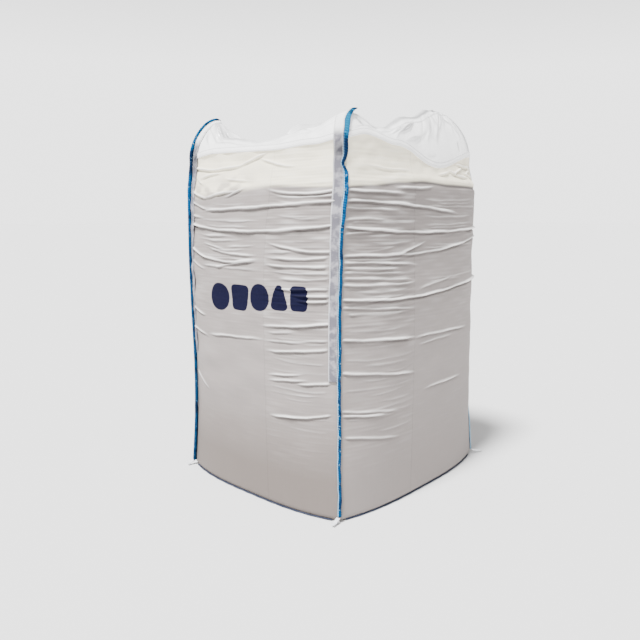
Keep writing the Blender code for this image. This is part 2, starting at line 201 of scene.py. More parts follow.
print(len(FRONT_FOLDS) + len(FRONT_CRUMPLES), "front folds,", len(RIGHT_FOLDS), "right folds")

# %% The shape of one fold and of a family of folds
CREST_ABOVE, CREST_BELOW = 0.0046, 0.0029  # a fold eases in from above and drops off sharply below
HOLLOW_AT, HOLLOW_WIDTH = 0.0082, 0.0043
CREASE_AT = (0.63, 0.40, 0.55, 0.45)  # where each panel was folded flat before it was filled
SMOOTH_BELOW = 0.30  # under this height the cloth is tight
rng = np.random.default_rng(11)


def fold(s, z, start, end, low, high, sag, rise):
    """Crest exp(-|u / w|^1.6) less a hollow below it, where u is the height above the fold's own curve.

    The width w is larger above the crest than below it, so the fold catches light from above on a soft
    slope and casts a thin shadow. It fades in and out at the two ends of its run, and sharply at a seam.
    """
    t = (s - start) / (end - start)
    line = low + (high - low) * t - sag * 4 * t * (1 - t)
    line = line + 0.0010 * np.sin(31 * s + 90 * low) + 0.0003 * np.sin(83 * s + 170 * low)
    u = z - line
    width = np.where(u > 0, CREST_ABOVE, CREST_BELOW) * (0.88 + 0.16 * np.sin(19 * s + 60 * high))
    taper = 0.04 + 0.16 * (end - start)
    first, last = (0.02 if start < 0.04 else taper), (0.02 if end > 0.94 else taper)
    fade = eased((s - start) / first) * eased((end - s) / last) * (0.86 + 0.16 * np.sin(15 * s + 50 * high) + 0.06 * np.sin(67 * s + 130 * low))
    return 1.05 * rise * fade * (np.exp(-(np.abs(u / width) ** 1.6)) - 0.55 * np.exp(-(((u + HOLLOW_AT) / HOLLOW_WIDTH) ** 2)))


def random_folds(count, start, end, low, high, rise):
    """Level folds with lengths, sags and depths drawn at random inside the given limits."""
    rows = []
    for _ in range(count):
        length = rng.uniform(0.45, 1.0) * (end - start)
        a = rng.uniform(start, end - length)
        z = rng.uniform(low, high)
        rows.append((a, a + length, z, z + rng.normal(0, 0.006), rng.uniform(0, 0.012), rng.uniform(0.4, 1.0) * rise))
    return rows


SIDE_FOLDS = (
    list(FRONT_FOLDS + FRONT_CRUMPLES) + random_folds(16, 0.62, 0.95, 0.95, 1.26, 0.0030)
    + random_folds(14, 0.08, 0.62, 0.92, 1.24, 0.0026) + random_folds(16, 0.63, 0.96, 0.34, 0.74, 0.0015),
    list(RIGHT_FOLDS) + random_folds(20, 0.02, 0.42, 0.80, 1.26, 0.0028)
    + random_folds(12, 0.42, 0.95, 0.86, 1.26, 0.0026) + random_folds(18, 0.02, 0.42, 0.26, 0.76, 0.0014),
    random_folds(14, 0.04, 0.96, 0.86, 1.28, 0.0095) + random_folds(18, 0.04, 0.55, 0.50, 1.24, 0.0050)
    + random_folds(16, 0.55, 0.96, 0.34, 1.24, 0.0055) + random_folds(24, 0.05, 0.95, 0.26, 1.26, 0.0018),
    random_folds(14, 0.04, 0.96, 0.86, 1.28, 0.0095) + random_folds(20, 0.04, 0.45, 0.34, 1.24, 0.0050)
    + random_folds(16, 0.45, 0.96, 0.50, 1.24, 0.0055) + random_folds(24, 0.05, 0.95, 0.26, 1.26, 0.0018),
)


def waves(p, count, low, high, seed):
    """Sum of sine waves of the given wavelengths in random directions, scaled to about -1 to 1."""
    draw = np.random.default_rng(seed)
    total = np.zeros(p.shape[:-1])
    for _ in range(count):
        turn, length = draw.uniform(0, 2 * np.pi), draw.uniform(low, high)
        direction = np.array((np.cos(turn), np.sin(turn))) * 2 * np.pi / length
        total += np.sin(p @ direction + draw.uniform(0, 2 * np.pi))
    return total / math.sqrt(count)


def cloth_relief(side, s, z):
    """How far the cloth stands out from the smooth wall, in all and by its folds alone."""
    folds = np.zeros(s.shape)
    for row in SIDE_FOLDS[side]:
        folds += fold(s, z, *row)
    p = np.stack((s * 0.95, z * 1.6), axis=-1)
    slow = 0.0022 * waves(p, 9, 0.16, 0.42, 40 + side) * eased((z - 0.1) / 0.5)
    ripple = 0.0009 * waves(np.stack((s * 0.06, z), axis=-1), 8, 0.010, 0.020, 60 + side)
    open_half = s > CREASE_AT[side] if side in (0, 3) else s < CREASE_AT[side]
    ripple = ripple * np.where(open_half, 1.0, 0.35) * (0.25 * eased((z - 0.12) / 0.2) + 0.75 * eased((z - 0.60) / 0.25))
    slack = eased((z - FILL - 0.01) / 0.05)
    crumple = 0.0016 * waves(np.stack((s * 0.95, z * 1.5), axis=-1), 12, 0.07, 0.22, 80 + side)
    inside = eased(s / 0.03) * eased((1 - s) / 0.03) * eased((z - 0.01) / 0.05)
    relief = (folds + slow + ripple) * (1 - 0.6 * slack) + crumple * slack
    collar = sum(fold(s, z, *row) for row in COLLAR_FOLDS[side])
    return (relief + 1.3 * collar) * inside, (folds + 0.8 * ripple + collar) * inside


# %% [markdown]
# ## From grids to meshes
# Every piece is one or more grids of points. One helper turns grids into a mesh in a single step, with a
# UV map in metres for patterns that must follow the cloth, and any extra values as attributes. A thin
# piece is two grids, outer and inner, joined all round their edge so that the piece is closed.


# %% Mesh helpers
def grid_faces(rows, columns, offset=0, wrap=False):
    """Corner numbers of the grid's cells, row by row; wrap joins the last column to the first."""
    i = np.arange(rows - 1)[:, None] * columns
    j = np.arange(columns if wrap else columns - 1)[None, :]
    k = (j + 1) % columns
    cells = np.stack(np.broadcast_arrays(i + j, i + k, i + columns + k, i + columns + j), axis=-1)
    return cells.reshape(-1, 4) + offset


def make_piece(name, points, faces, material, replaced, uv=None, attributes=None, smooth=True):
    """One object at the origin from whole arrays; faces is a list of arrays of quads or triangles."""
    mesh = bpy.data.meshes.new(name)
    mesh.from_pydata(points, [], [face for block in faces for face in block.tolist()])
    if uv is not None:
        layer = mesh.uv_layers.new(name="cloth")
        index = np.empty(len(mesh.loops), dtype=np.int32)
        mesh.loops.foreach_get("vertex_index", index)
        layer.data.foreach_set("uv", uv[index].astype(np.float32).ravel())
    for key, values in (attributes or {}).items():
        mesh.attributes.new(key, "FLOAT", "POINT").data.foreach_set("value", values.astype(np.float32))
    mesh.materials.append(material)
    if smooth:
        mesh.shade_smooth()
    mesh.validate()
    piece = bpy.data.objects.new(name, mesh)
    bpy.context.scene.collection.objects.link(piece)
    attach(piece, "root")
    if replaced:
        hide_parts(*replaced)
    print(f"{name}: {len(mesh.vertices)} points, {sum(len(p.vertices) - 2 for p in mesh.polygons)} triangles")
    return piece


def normals_of(grid):
    """Unit normals of a grid whose columns run to the right and rows upwards, seen from outside."""
    across = np.gradient(grid, axis=1)
    up = np.gradient(grid, axis=0)
    normal = np.cross(across, up)
    return normal / np.maximum(np.linalg.norm(normal, axis=-1, keepdims=True), 1e-12)


def shell(outer, inner, wrap=False):
    """Points and faces of a thin closed piece between two grids of one size."""
    rows, columns = outer.shape[:2]
    count = rows * columns
    points = np.concatenate((outer.reshape(-1, 3), inner.reshape(-1, 3)))
    faces = [grid_faces(rows, columns, 0, wrap), grid_faces(rows, columns, count, wrap)[:, ::-1]]
    ring = np.arange(columns if wrap else columns - 1)
    ahead = (ring + 1) % columns
    top = (rows - 1) * columns
    faces.append(np.stack((ring, ring + count, ahead + count, ahead), axis=-1))
    faces.append(np.stack((top + ring, top + ahead, top + ahead + count, top + ring + count), axis=-1))
    if not wrap:
        low = np.arange(rows - 1) * columns
        high = low + columns
        faces.append(np.stack((low, high, high + count, low + count), axis=-1))
        low, high = low + columns - 1, high + columns - 1
        faces.append(np.stack((low, low + count, high + count, high), axis=-1))
    return points, faces

# %% [markdown]
# ## Shader groups
# Four effects are used by more than one finish: woven tapes, a soft unevenness of colour, a row of
# stitches and a printed block. Each is a node group with named inputs and outputs, built once. A group
# only puts out values; the Principled shader stays in the material.


# %% Helpers for node groups
def add(tree, kind, inputs=None, **settings):
    """A node with its settings and inputs; an input is a socket to link or a plain value."""
    node = tree.nodes.new(kind)
    for key, value in settings.items():
        setattr(node, key, value)
    for key, value in (inputs or {}).items():
        if isinstance(value, bpy.types.NodeSocket):
            tree.links.new(value, node.inputs[key])
        else:
            node.inputs[key].default_value = value
    return node


def calc(tree, operation, a, b=0.0, c=0.0):
    """One step of arithmetic, as a socket."""
    return add(tree, "ShaderNodeMath", {0: a, 1: b, 2: c}, operation=operation).outputs[0]


def new_group(name, inputs, outputs):
    """A node group with float or vector inputs and float outputs: (tree, input sockets, output node)."""
    tree = bpy.data.node_groups.new(name, "ShaderNodeTree")
    for key, value in inputs:
        kind = "NodeSocketVector" if value is None else "NodeSocketFloat"
        socket = tree.interface.new_socket(key, in_out="INPUT", socket_type=kind)
        if value is not None:
            socket.default_value = value
    for key in outputs:
        tree.interface.new_socket(key, in_out="OUTPUT", socket_type="NodeSocketFloat")
    return tree, tree.nodes.new("NodeGroupInput").outputs, tree.nodes.new("NodeGroupOutput")


def use(tree, group, inputs):
    return add(tree, "ShaderNodeGroup", inputs, node_tree=group).outputs


# %% Woven tapes: tapes of the given width cross over and under, with a dark gap at every edge
weave, given, result = new_group("woven tapes", (("Vector", None), ("Tape width", 0.0025)), ("Height", "Gap"))
split = add(weave, "ShaderNodeSeparateXYZ", {0: given["Vector"]})
turns = [
    calc(weave, "SINE", calc(weave, "MULTIPLY", calc(weave, "DIVIDE", split.outputs[axis], given["Tape width"]), math.pi))
    for axis in (0, 1)
]
crossing = calc(weave, "MULTIPLY", turns[0], turns[1])
edges = calc(weave, "POWER", calc(weave, "ABSOLUTE", crossing), 0.35)
weave.links.new(calc(weave, "MULTIPLY", edges, calc(weave, "MULTIPLY_ADD", crossing, 0.3, 0.7)), result.inputs["Height"])
weave.links.new(calc(weave, "SUBTRACT", 1.0, edges), result.inputs["Gap"])

# %% Soft unevenness: two sizes of noise, as a factor a little above and below 1
mottle, given, result = new_group("soft unevenness", (("Vector", None), ("Size", 0.2), ("Amount", 0.04)), ("Shade",))
coarse = add(mottle, "ShaderNodeTexNoise", {
    "Vector": given["Vector"], "Scale": calc(mottle, "DIVIDE", 1.0, given["Size"]), "Detail": 3.0, "Roughness": 0.55,
})
fine = add(mottle, "ShaderNodeTexNoise", {
    "Vector": given["Vector"], "Scale": calc(mottle, "DIVIDE", 9.0, given["Size"]), "Detail": 2.0,
})
both = calc(mottle, "ADD", coarse.outputs["Fac"], calc(mottle, "MULTIPLY", fine.outputs["Fac"], 0.5))
swing = calc(mottle, "MULTIPLY", calc(mottle, "SUBTRACT", both, 0.75), calc(mottle, "MULTIPLY", given["Amount"], 4.0))
mottle.links.new(calc(mottle, "ADD", swing, 1.0), result.inputs["Shade"])

# %% Stitch row: short dashes along one line of the map, a quarter of each length left open
stitching, given, result = new_group(
    "stitch row", (("Vector", None), ("Line", 0.0), ("Stitch", 0.008), ("Thickness", 0.001)), ("Thread",)
)
split = add(stitching, "ShaderNodeSeparateXYZ", {0: given["Vector"]})
off_line = calc(stitching, "ABSOLUTE", calc(stitching, "SUBTRACT", split.outputs[0], given["Line"]))
on_line = calc(stitching, "LESS_THAN", off_line, given["Thickness"])
along = calc(stitching, "FRACT", calc(stitching, "DIVIDE", split.outputs[1], given["Stitch"]))
stitching.links.new(calc(stitching, "MULTIPLY", on_line, calc(stitching, "LESS_THAN", along, 0.75)), result.inputs["Thread"])

# %% Printed block: inside where |u / a|^n + |v / b|^n is under 1, with a taper towards the top
block, given, result = new_group(
    "printed block",
    (("Vector", None), ("Centre across", 0.0), ("Centre up", 0.0), ("Half width", 0.04), ("Half height", 0.05),
     ("Squareness", 4.0), ("Taper", 0.0)),
    ("Ink",),
)
split = add(block, "ShaderNodeSeparateXYZ", {0: given["Vector"]})
up = calc(block, "DIVIDE", calc(block, "SUBTRACT", split.outputs[1], given["Centre up"]), given["Half height"])
room = calc(block, "MULTIPLY", given["Half width"], calc(block, "SUBTRACT", 1.0, calc(block, "MULTIPLY", up, given["Taper"])))
across = calc(block, "DIVIDE", calc(block, "SUBTRACT", split.outputs[0], given["Centre across"]), calc(block, "MAXIMUM", room, 0.001))
reach = calc(
    block, "ADD", calc(block, "POWER", calc(block, "ABSOLUTE", across), given["Squareness"]),
    calc(block, "POWER", calc(block, "ABSOLUTE", up), given["Squareness"]),
)
edge = add(block, "ShaderNodeMapRange", {"Value": reach, "From Min": 1.10, "From Max": 0.96, "To Min": 0.0, "To Max": 1.0})
block.links.new(edge.outputs[0], result.inputs["Ink"])
print("shader groups:", ", ".join(g.name for g in bpy.data.node_groups))

# %% [markdown]
# ## The finishes
# Woven plastic tape is an off-white, slightly glossy cloth. The crests of its folds are painted lighter, a painted
# highlight, and the hollows under them darker, painted shade. The slack collar has no sugar behind it, so light comes
# through, and that light is painted into its colour, lighter and warmer. The film is nearly white and shines, with
# painted shade in its creases. The print is a row of five plain navy blocks. Colours are linear values, and each finish
# varies a little.


# %% Material helpers
def new_material(name, roughness, **plain):
    """A material with one Principled shader; plain numbers go straight on its sockets."""
    made = bpy.data.materials.new(name)
    made.use_nodes = True
    tree = made.node_tree
    shader = tree.nodes["Principled BSDF"]
    shader.inputs["Roughness"].default_value = roughness
    for key, value in plain.items():
        shader.inputs[key.replace("_", " ")].default_value = value
    return made, tree, shader


def scaled(tree, colour, factor):
    """A colour times a value."""
    node = add(tree, "ShaderNodeVectorMath", {0: colour, "Scale": factor}, operation="SCALE")
    return node.outputs[0]


def blended(tree, factor, first, second):
    """A mix of two colours."""
    node = add(tree, "ShaderNodeMix", {"Factor": factor}, data_type="RGBA")
    for socket, value in ((node.inputs[6], first), (node.inputs[7], second)):
        if isinstance(value, bpy.types.NodeSocket):
            tree.links.new(value, socket)
        else:
            socket.default_value = (*value, 1.0)
    return node.outputs[2]


def bumped(tree, shader, height, distance, strength=1.0):
    bump = add(tree, "ShaderNodeBump", {"Height": height, "Distance": distance, "Strength": strength})
    tree.links.new(bump.outputs["Normal"], shader.inputs["Normal"])


# %% The woven cloth, plain and printed
CLOTH, CLOTH_LOW, CREST_HIGHLIGHT = (0.268, 0.240, 0.230), (0.160, 0.137, 0.125), (0.84, 0.83, 0.82)
COLLAR_LIT_THROUGH, NAVY = (0.84, 0.78, 0.62), (0.0005, 0.001, 0.016)
TAPE = 0.0028
LOW_DARKENING, SHADED = (1.0, 0.28, 0.60, 0.60), (0.0, 0.16, 0.06, 0.06)  # of each panel
PRINT_BLOCKS = (  # centre across, centre up, half width, half height, squareness, taper
    (-0.167, 0.838, 0.066, 0.057, 2.3, 0.00), (-0.029, 0.845, 0.054, 0.053, 5.0, -0.10),
    (0.097, 0.856, 0.057, 0.054, 2.2, 0.00), (0.210, 0.863, 0.036, 0.050, 3.4, 0.50),
    (0.308, 0.866, 0.039, 0.049, 5.0, 0.00),
)


def cloth_material(name, crease, low_darkening, shaded, printed=False):
    """Woven tape with a collar painted lighter for the light that shines through it, a fold crease down the panel and,
    on the front, the printed row.

    The cloth is darker towards the floor, and has painted shade under the collar, each by its own share.
    """
    made, tree, shader = new_material(name, 0.5, Specular_IOR_Level=0.06)
    uv = add(tree, "ShaderNodeUVMap", uv_map="cloth").outputs[0]
    slack = add(tree, "ShaderNodeAttribute", attribute_name="slack").outputs["Fac"]
    hollow_shade = add(tree, "ShaderNodeAttribute", attribute_name="hollow_shade").outputs["Fac"]
    crest_highlight = add(tree, "ShaderNodeAttribute", attribute_name="crest_highlight").outputs["Fac"]
    split = add(tree, "ShaderNodeSeparateXYZ", {0: uv})
    # darker towards the floor, by each panel's own share
    low = add(tree, "ShaderNodeMapRange", {
        "Value": split.outputs[1], "From Min": 0.50, "From Max": 0.15, "To Max": low_darkening,
    }).outputs[0]
    # painted shade under the collar: the cloth is darkened from 0.95 m up towards the collar
    under = add(tree, "ShaderNodeMapRange", {
        "Value": split.outputs[1], "From Min": 0.95, "From Max": 1.22, "To Min": 1.0, "To Max": 1 - shaded,
    }).outputs[0]
    # painted light: above the sugar line the cloth is blended towards a lighter, warmer colour for the light that
    # shines through the slack collar
    colour = blended(tree, slack, scaled(tree, blended(tree, low, CLOTH, CLOTH_LOW), under), COLLAR_LIT_THROUGH)
    # painted highlight: the crests of the folds are blended towards a light colour
    colour = blended(tree, calc(tree, "MULTIPLY", crest_highlight, 0.80), colour, CREST_HIGHLIGHT)
    tapes = use(tree, weave, {"Vector": uv, "Tape width": TAPE})
    shade = use(tree, mottle, {"Vector": uv, "Size": 0.16, "Amount": 0.018})["Shade"]
    streaky = add(tree, "ShaderNodeMapping", {"Vector": uv, "Scale": (260.0, 4.0, 1.0)})
    streaks = add(tree, "ShaderNodeTexNoise", {"Vector": streaky.outputs[0], "Scale": 1.0, "Detail": 2.0})
    shade = calc(tree, "MULTIPLY", shade, calc(tree, "MULTIPLY_ADD", streaks.outputs["Fac"], 0.05, 0.975))
    shade = calc(tree, "MULTIPLY", shade, calc(tree, "MULTIPLY_ADD", tapes["Gap"], -0.10, 1.03))
    # painted shade: the cloth is darkened in the hollow under each fold and in the groove under the collar's lap
    shade = calc(tree, "MULTIPLY", shade, calc(tree, "MULTIPLY_ADD", hollow_shade, -0.40, 1.0))
    # painted shade: the cloth is darkened along the panel's vertical crease, which also gets a bump
    line = calc(tree, "SUBTRACT", 1.0, calc(tree, "SMOOTH_MIN", calc(
        tree, "DIVIDE", calc(tree, "ABSOLUTE", calc(tree, "SUBTRACT", split.outputs[0], crease)), 0.0035), 1.0, 0.3))
    line = calc(tree, "MAXIMUM", line, 0.0)
    shade = calc(tree, "MULTIPLY", shade, calc(tree, "MULTIPLY_ADD", line, -0.15, 1.0))
    colour = scaled(tree, colour, shade)
    if printed:
        ink = 0.0
        for across, up, half_width, half_height, squareness, taper in PRINT_BLOCKS:
            values = {"Vector": uv, "Centre across": across, "Centre up": up, "Half width": half_width,
                      "Half height": half_height, "Squareness": squareness, "Taper": taper}
            ink = calc(tree, "MAXIMUM", ink, use(tree, block, values)["Ink"])
        wear = calc(tree, "MULTIPLY_ADD", tapes["Gap"], -0.03, 0.995)
        colour = blended(tree, calc(tree, "MULTIPLY", ink, wear), colour, NAVY)
    tree.links.new(colour, shader.inputs["Base Color"])
    rough = calc(tree, "MULTIPLY_ADD", tapes["Gap"], 0.25, 0.45)
    if printed:
        rough = calc(tree, "MAXIMUM", rough, calc(tree, "MULTIPLY", ink, 0.85))
    tree.links.new(rough, shader.inputs["Roughness"])
    height = calc(tree, "ADD", calc(tree, "MULTIPLY", tapes["Height"], 0.22), calc(tree, "MULTIPLY", line, 0.5))
    bumped(tree, shader, height, 0.0012)
    return made


# %% The film
FILM, FILM_SHADE = (0.95, 0.95, 0.948), (0.13, 0.13, 0.135)


def film_material(name, rib):
    """Thin white film: faint cloudiness, painted grey shade in its creases and folds, with fine crinkles.

    A hem has rows of stitches too, at the distances in rib.
    """
    made, tree, shader = new_material(name, 0.34, Coat_Weight=0.25, Coat_Roughness=0.25)
    place = add(tree, "ShaderNodeTexCoord").outputs["Object"]
    shade = use(tree, mottle, {"Vector": place, "Size": 0.11, "Amount": 0.010})["Shade"]
    fold_shade = add(tree, "ShaderNodeAttribute", attribute_name="fold_shade").outputs["Fac"]
    # painted shade: the film's colour is blended towards grey along its creases, folds and seams
    colour = scaled(tree, blended(tree, fold_shade, FILM, FILM_SHADE), shade)
    crinkle = add(tree, "ShaderNodeTexVoronoi", {"Vector": place, "Scale": 24.0}, feature="DISTANCE_TO_EDGE")
    grain = add(tree, "ShaderNodeTexNoise", {"Vector": place, "Scale": 70.0, "Detail": 4.0})
    height = calc(tree, "ADD", calc(tree, "MULTIPLY", crinkle.outputs["Distance"], 0.9), calc(
        tree, "MULTIPLY", grain.outputs["Fac"], 0.35))
    if rib:
        uv = add(tree, "ShaderNodeUVMap", uv_map="cloth").outputs[0]
        turned = add(tree, "ShaderNodeMapping", {"Vector": uv, "Rotation": (0.0, 0.0, math.pi / 2)}).outputs[0]
        thread = 0.0
        for line in rib:
            made_row = use(tree, stitching, {"Vector": turned, "Line": -line, "Stitch": 0.009, "Thickness": 0.0009})
            thread = calc(tree, "MAXIMUM", thread, made_row["Thread"])
        colour = scaled(tree, colour, calc(tree, "MULTIPLY_ADD", thread, -0.45, 1.0))
        height = calc(tree, "ADD", height, calc(tree, "MULTIPLY", thread, -0.6))
    tree.links.new(colour, shader.inputs["Base Color"])
    bumped(tree, shader, height, 0.0015, 0.5)
    return made


# %% The blue overlocked edging
BLUE_LOW, BLUE_MIDDLE, BLUE_TOP_HIGHLIGHT = (0.002, 0.040, 0.112), (0.002, 0.068, 0.190), (0.0, 0.112, 0.215)
BLUE_DARK, BLUE_EDGE_HIGHLIGHT, BLUE_THREAD = (0.001, 0.009, 0.034), (0.32, 0.52, 0.68), (0.22, 0.42, 0.56)
STITCH = 0.0095


def seam_material():
    """Mid blue with a painted highlight along one edge and specks of thread, nearly navy where it lies slack, and cyan
    at the top with a painted highlight down its middle.
    """
    made, tree, shader = new_material("blue_overlock", 0.65, Specular_IOR_Level=0.06)
    uv = add(tree, "ShaderNodeUVMap", uv_map="cloth").outputs[0]
    place = add(tree, "ShaderNodeTexCoord").outputs["Object"]
    height = add(tree, "ShaderNodeSeparateXYZ", {0: place}).outputs[2]
    across, along = add(tree, "ShaderNodeSeparateXYZ", {0: uv}).outputs[:2]

    def ramp(value, low, high, top=1.0):
        return add(tree, "ShaderNodeMapRange", {"Value": value, "From Min": low, "From Max": high, "To Max": top}).outputs[0]

    colour = blended(tree, ramp(height, 1.05, 1.22), BLUE_LOW, BLUE_MIDDLE)
    # painted highlight: at the top only the cord's middle is painted cyan, and its sides keep the mid blue
    middle = ramp(calc(tree, "ABSOLUTE", across), 0.95, 0.55)
    colour = blended(tree, calc(tree, "MULTIPLY", ramp(height, 1.45, 1.50), middle), colour, BLUE_TOP_HIGHLIGHT)
    slack = calc(tree, "MULTIPLY", ramp(height, 1.33, 1.37), ramp(height, 1.475, 1.455))
    colour = blended(tree, calc(tree, "MULTIPLY", slack, 0.93), colour, BLUE_DARK)
    slant = calc(tree, "ADD", calc(tree, "DIVIDE", along, STITCH), calc(tree, "MULTIPLY", across, 0.3))
    thread = calc(tree, "MULTIPLY_ADD", calc(tree, "SINE", calc(tree, "MULTIPLY", slant, 2 * math.pi)), 0.5, 0.5)
    patch = add(tree, "ShaderNodeTexNoise", {"Vector": place, "Scale": 38.0, "Detail": 3.0}).outputs["Fac"]
    colour = blended(tree, ramp(patch, 0.51, 0.60, 0.75), colour, BLUE_DARK)
    # painted highlight: a light line along one edge of the cord, below the top
    edge_highlight = calc(tree, "MULTIPLY", ramp(across, -0.56, -0.74, 0.85), ramp(height, 1.50, 1.30))
    colour = blended(tree, edge_highlight, colour, BLUE_EDGE_HIGHLIGHT)
    speck = add(tree, "ShaderNodeTexNoise", {"Vector": place, "Scale": 95.0, "Detail": 1.0}).outputs["Fac"]
    colour = blended(tree, ramp(speck, 0.67, 0.73, 0.50), colour, BLUE_THREAD)
    tip = add(tree, "ShaderNodeAttribute", attribute_name="tip").outputs["Fac"]
    colour = blended(tree, calc(tree, "MULTIPLY", tip, 0.9), colour, BLUE_DARK)
    colour = scaled(tree, colour, calc(tree, "MULTIPLY_ADD", thread, 0.35, 0.80))
    tree.links.new(colour, shader.inputs["Base Color"])
    bumped(tree, shader, thread, 0.0012, 0.8)
    return made


# %% The webbing, with a ribbed weave, two rows of edge stitching and a paler upper end
WEBBING, WEBBING_SHEEN, WEBBING_TOP = (0.150, 0.145, 0.172), (0.36, 0.35, 0.38), (0.86, 0.86, 0.86)
STRAP_WIDTH = 0.034


def webbing_material():
    """Lavender grey with soft patches of painted sheen, lighter along one edge, and near white where film covers it."""
    made, tree, shader = new_material("webbing", 0.55, Specular_IOR_Level=0.08)
    uv = add(tree, "ShaderNodeUVMap", uv_map="cloth").outputs[0]
    covered = add(tree, "ShaderNodeAttribute", attribute_name="covered").outputs["Fac"]
    hem_shadow = add(tree, "ShaderNodeAttribute", attribute_name="hem_shadow").outputs["Fac"]
    ribs = use(tree, weave, {"Vector": uv, "Tape width": 0.0021})
    blotch = add(tree, "ShaderNodeTexNoise", {"Vector": uv, "Scale": 24.0, "Detail": 3.0, "Roughness": 0.6}).outputs["Fac"]
    # painted sheen: soft light patches over the lavender grey
    sheen_patches = add(tree, "ShaderNodeMapRange", {"Value": blotch, "From Min": 0.46, "From Max": 0.60, "To Max": 0.9}).outputs[0]
    # lighter along one edge
    edge = add(tree, "ShaderNodeMapRange", {
        "Value": add(tree, "ShaderNodeSeparateXYZ", {0: uv}).outputs[0],
        "From Min": -0.39 * STRAP_WIDTH, "From Max": -0.46 * STRAP_WIDTH, "To Max": 0.9,
    }).outputs[0]
    thread = 0.0
    for line in (-0.5 * STRAP_WIDTH + 0.004, 0.5 * STRAP_WIDTH - 0.004):
        row = use(tree, stitching, {"Vector": uv, "Line": line, "Stitch": 0.008, "Thickness": 0.0008})
        thread = calc(tree, "MAXIMUM", thread, row["Thread"])
    colour = blended(tree, sheen_patches, WEBBING, WEBBING_SHEEN)
    colour = blended(tree, edge, colour, (0.66, 0.655, 0.68))
    # painted shadow: the webbing is darkened just under the film's hem
    colour = blended(tree, covered, scaled(tree, colour, calc(tree, "MULTIPLY_ADD", hem_shadow, -0.62, 1.0)), WEBBING_TOP)
    colour = scaled(tree, colour, calc(tree, "MULTIPLY_ADD", ribs["Gap"], -0.12, 1.03))
    colour = blended(tree, calc(tree, "MULTIPLY", thread, 0.5), colour, (0.70, 0.70, 0.72))
    tree.links.new(colour, shader.inputs["Base Color"])
    bumped(tree, shader, calc(tree, "ADD", ribs["Height"], thread), 0.0008)
    return made


# %% Hems, tabs and bottom
def trim_material(name, colour, second, pitch, roughness=0.6):
    """Twisted or woven trim: bands of two colours that slant along the piece, with a matching bump."""
    made, tree, shader = new_material(name, roughness)
    uv = add(tree, "ShaderNodeUVMap", uv_map="cloth").outputs[0]
    split = add(tree, "ShaderNodeSeparateXYZ", {0: uv})
    slant = calc(tree, "ADD", calc(tree, "DIVIDE", split.outputs[1], pitch), calc(tree, "DIVIDE", split.outputs[0], 2 * pitch))
    twist = calc(tree, "MULTIPLY_ADD", calc(tree, "SINE", calc(tree, "MULTIPLY", slant, 2 * math.pi)), 0.5, 0.5)
    shade = use(tree, mottle, {"Vector": uv, "Size": 0.03, "Amount": 0.08})["Shade"]
    mixed = blended(tree, calc(tree, "POWER", twist, 3.0), colour, second)
    tree.links.new(scaled(tree, mixed, shade), shader.inputs["Base Color"])
    bumped(tree, shader, twist, 0.0008)
    return made


cloth_looks = [
    cloth_material(f"woven_cloth_{side}", (CREASE_AT[side] - 0.5) * 0.95, LOW_DARKENING[side], SHADED[side], side == 0)
    for side in range(4)
]
bottom_look = cloth_material("woven_cloth_bottom", 0.0, 0.6, 0.0)
film_look = film_material("white_film", ())
film_hem_look = film_material("white_film_hem", (0.003, 0.0215))
seam_look = seam_material()
webbing_look = webbing_material()
hem_look = trim_material("navy_cord", (0.003, 0.005, 0.018), (0.008, 0.022, 0.07), 0.006)
tab_look = trim_material("white_tab_webbing", (0.82, 0.82, 0.84), (0.70, 0.71, 0.76), 0.003)
print("materials:", ", ".join(m.name for m in bpy.data.materials))

# %% [markdown]
# ## The four panels
# Each panel is a grid of about 120 columns and 650 rows, finer upwards because the folds run level. The
# rows start under the bag at the floor, turn round the lower edge in a quarter circle, climb the wall, and
# end at the collar's slanting edge. The folds move each point along its normal. Straight lines from seam
# to seam close the back of the panel.

# %% Build the panels
COLUMNS = 124
TURN_ROWS, LOW_ROWS, HIGH_ROWS, COLLAR_ROWS = 12, 300, 262, 76
FINE_FROM = 0.76  # above this height the rows are closer together
FILL_LINE = (  # where the light collar starts: the sugar's surface shows as a soft line
    (0.0, 1.262), (0.18, 1.256), (0.42, 1.283), (0.62, 1.296), (0.97, 1.290), (1.1, 1.297), (1.3, 1.311),
    (1.47, 1.318), (1.7, 1.308), (2.0, 1.300), (2.5, 1.290), (3.0, 1.280), (3.5, 1.295),
)


def panel_grid(side):
    """Places, heights and smooth points of one panel, from the floor to the collar's edge."""
    s = np.linspace(0.0, 1.0, COLUMNS)
    place = side + s
    turn = np.linspace(0.0, 0.5 * np.pi, TURN_ROWS)
    low = EDGE_ROUND * (1 - np.cos(turn))
    inset = EDGE_ROUND * (1 - np.sin(turn))
    plain = np.concatenate((
        np.linspace(EDGE_ROUND, FINE_FROM, LOW_ROWS + 1)[1:], np.linspace(FINE_FROM, FILL, HIGH_ROWS + 1)[1:],
    ))
    share = np.linspace(0.0, 1.0, COLLAR_ROWS + 1)[1:]
    top = around(COLLAR_EDGE, place)
    z = np.concatenate((
        np.repeat(np.concatenate((low, plain))[:, None], COLUMNS, axis=1), FILL + (top - FILL) * share[:, None],
    ))
    inset = np.concatenate((inset, np.zeros(len(z) - TURN_ROWS)))[:, None]
    points = wall(np.broadcast_to(place, z.shape), z)
    radius = np.linalg.norm(points[..., :2], axis=-1)
    points[..., :2] *= (1 - inset / radius)[..., None]
    return np.broadcast_to(s, z.shape), z, points


def collar_lap(place, z):
    """The slack collar laps over the full cloth: a rounded lip just above the fill line, a groove below."""
    u = z - around(FILL_LINE, place)
    strength = around(((0.0, 0.08), (0.5, 0.12), (0.95, 0.4), (1.05, 0.5), (1.9, 0.75), (2.5, 0.5), (3.5, 0.4)), place)
    return strength * (0.0045 * np.exp(-(((u - 0.012) / 0.012) ** 2)) - 0.0070 * np.exp(-(((u + 0.006) / 0.010) ** 2)))


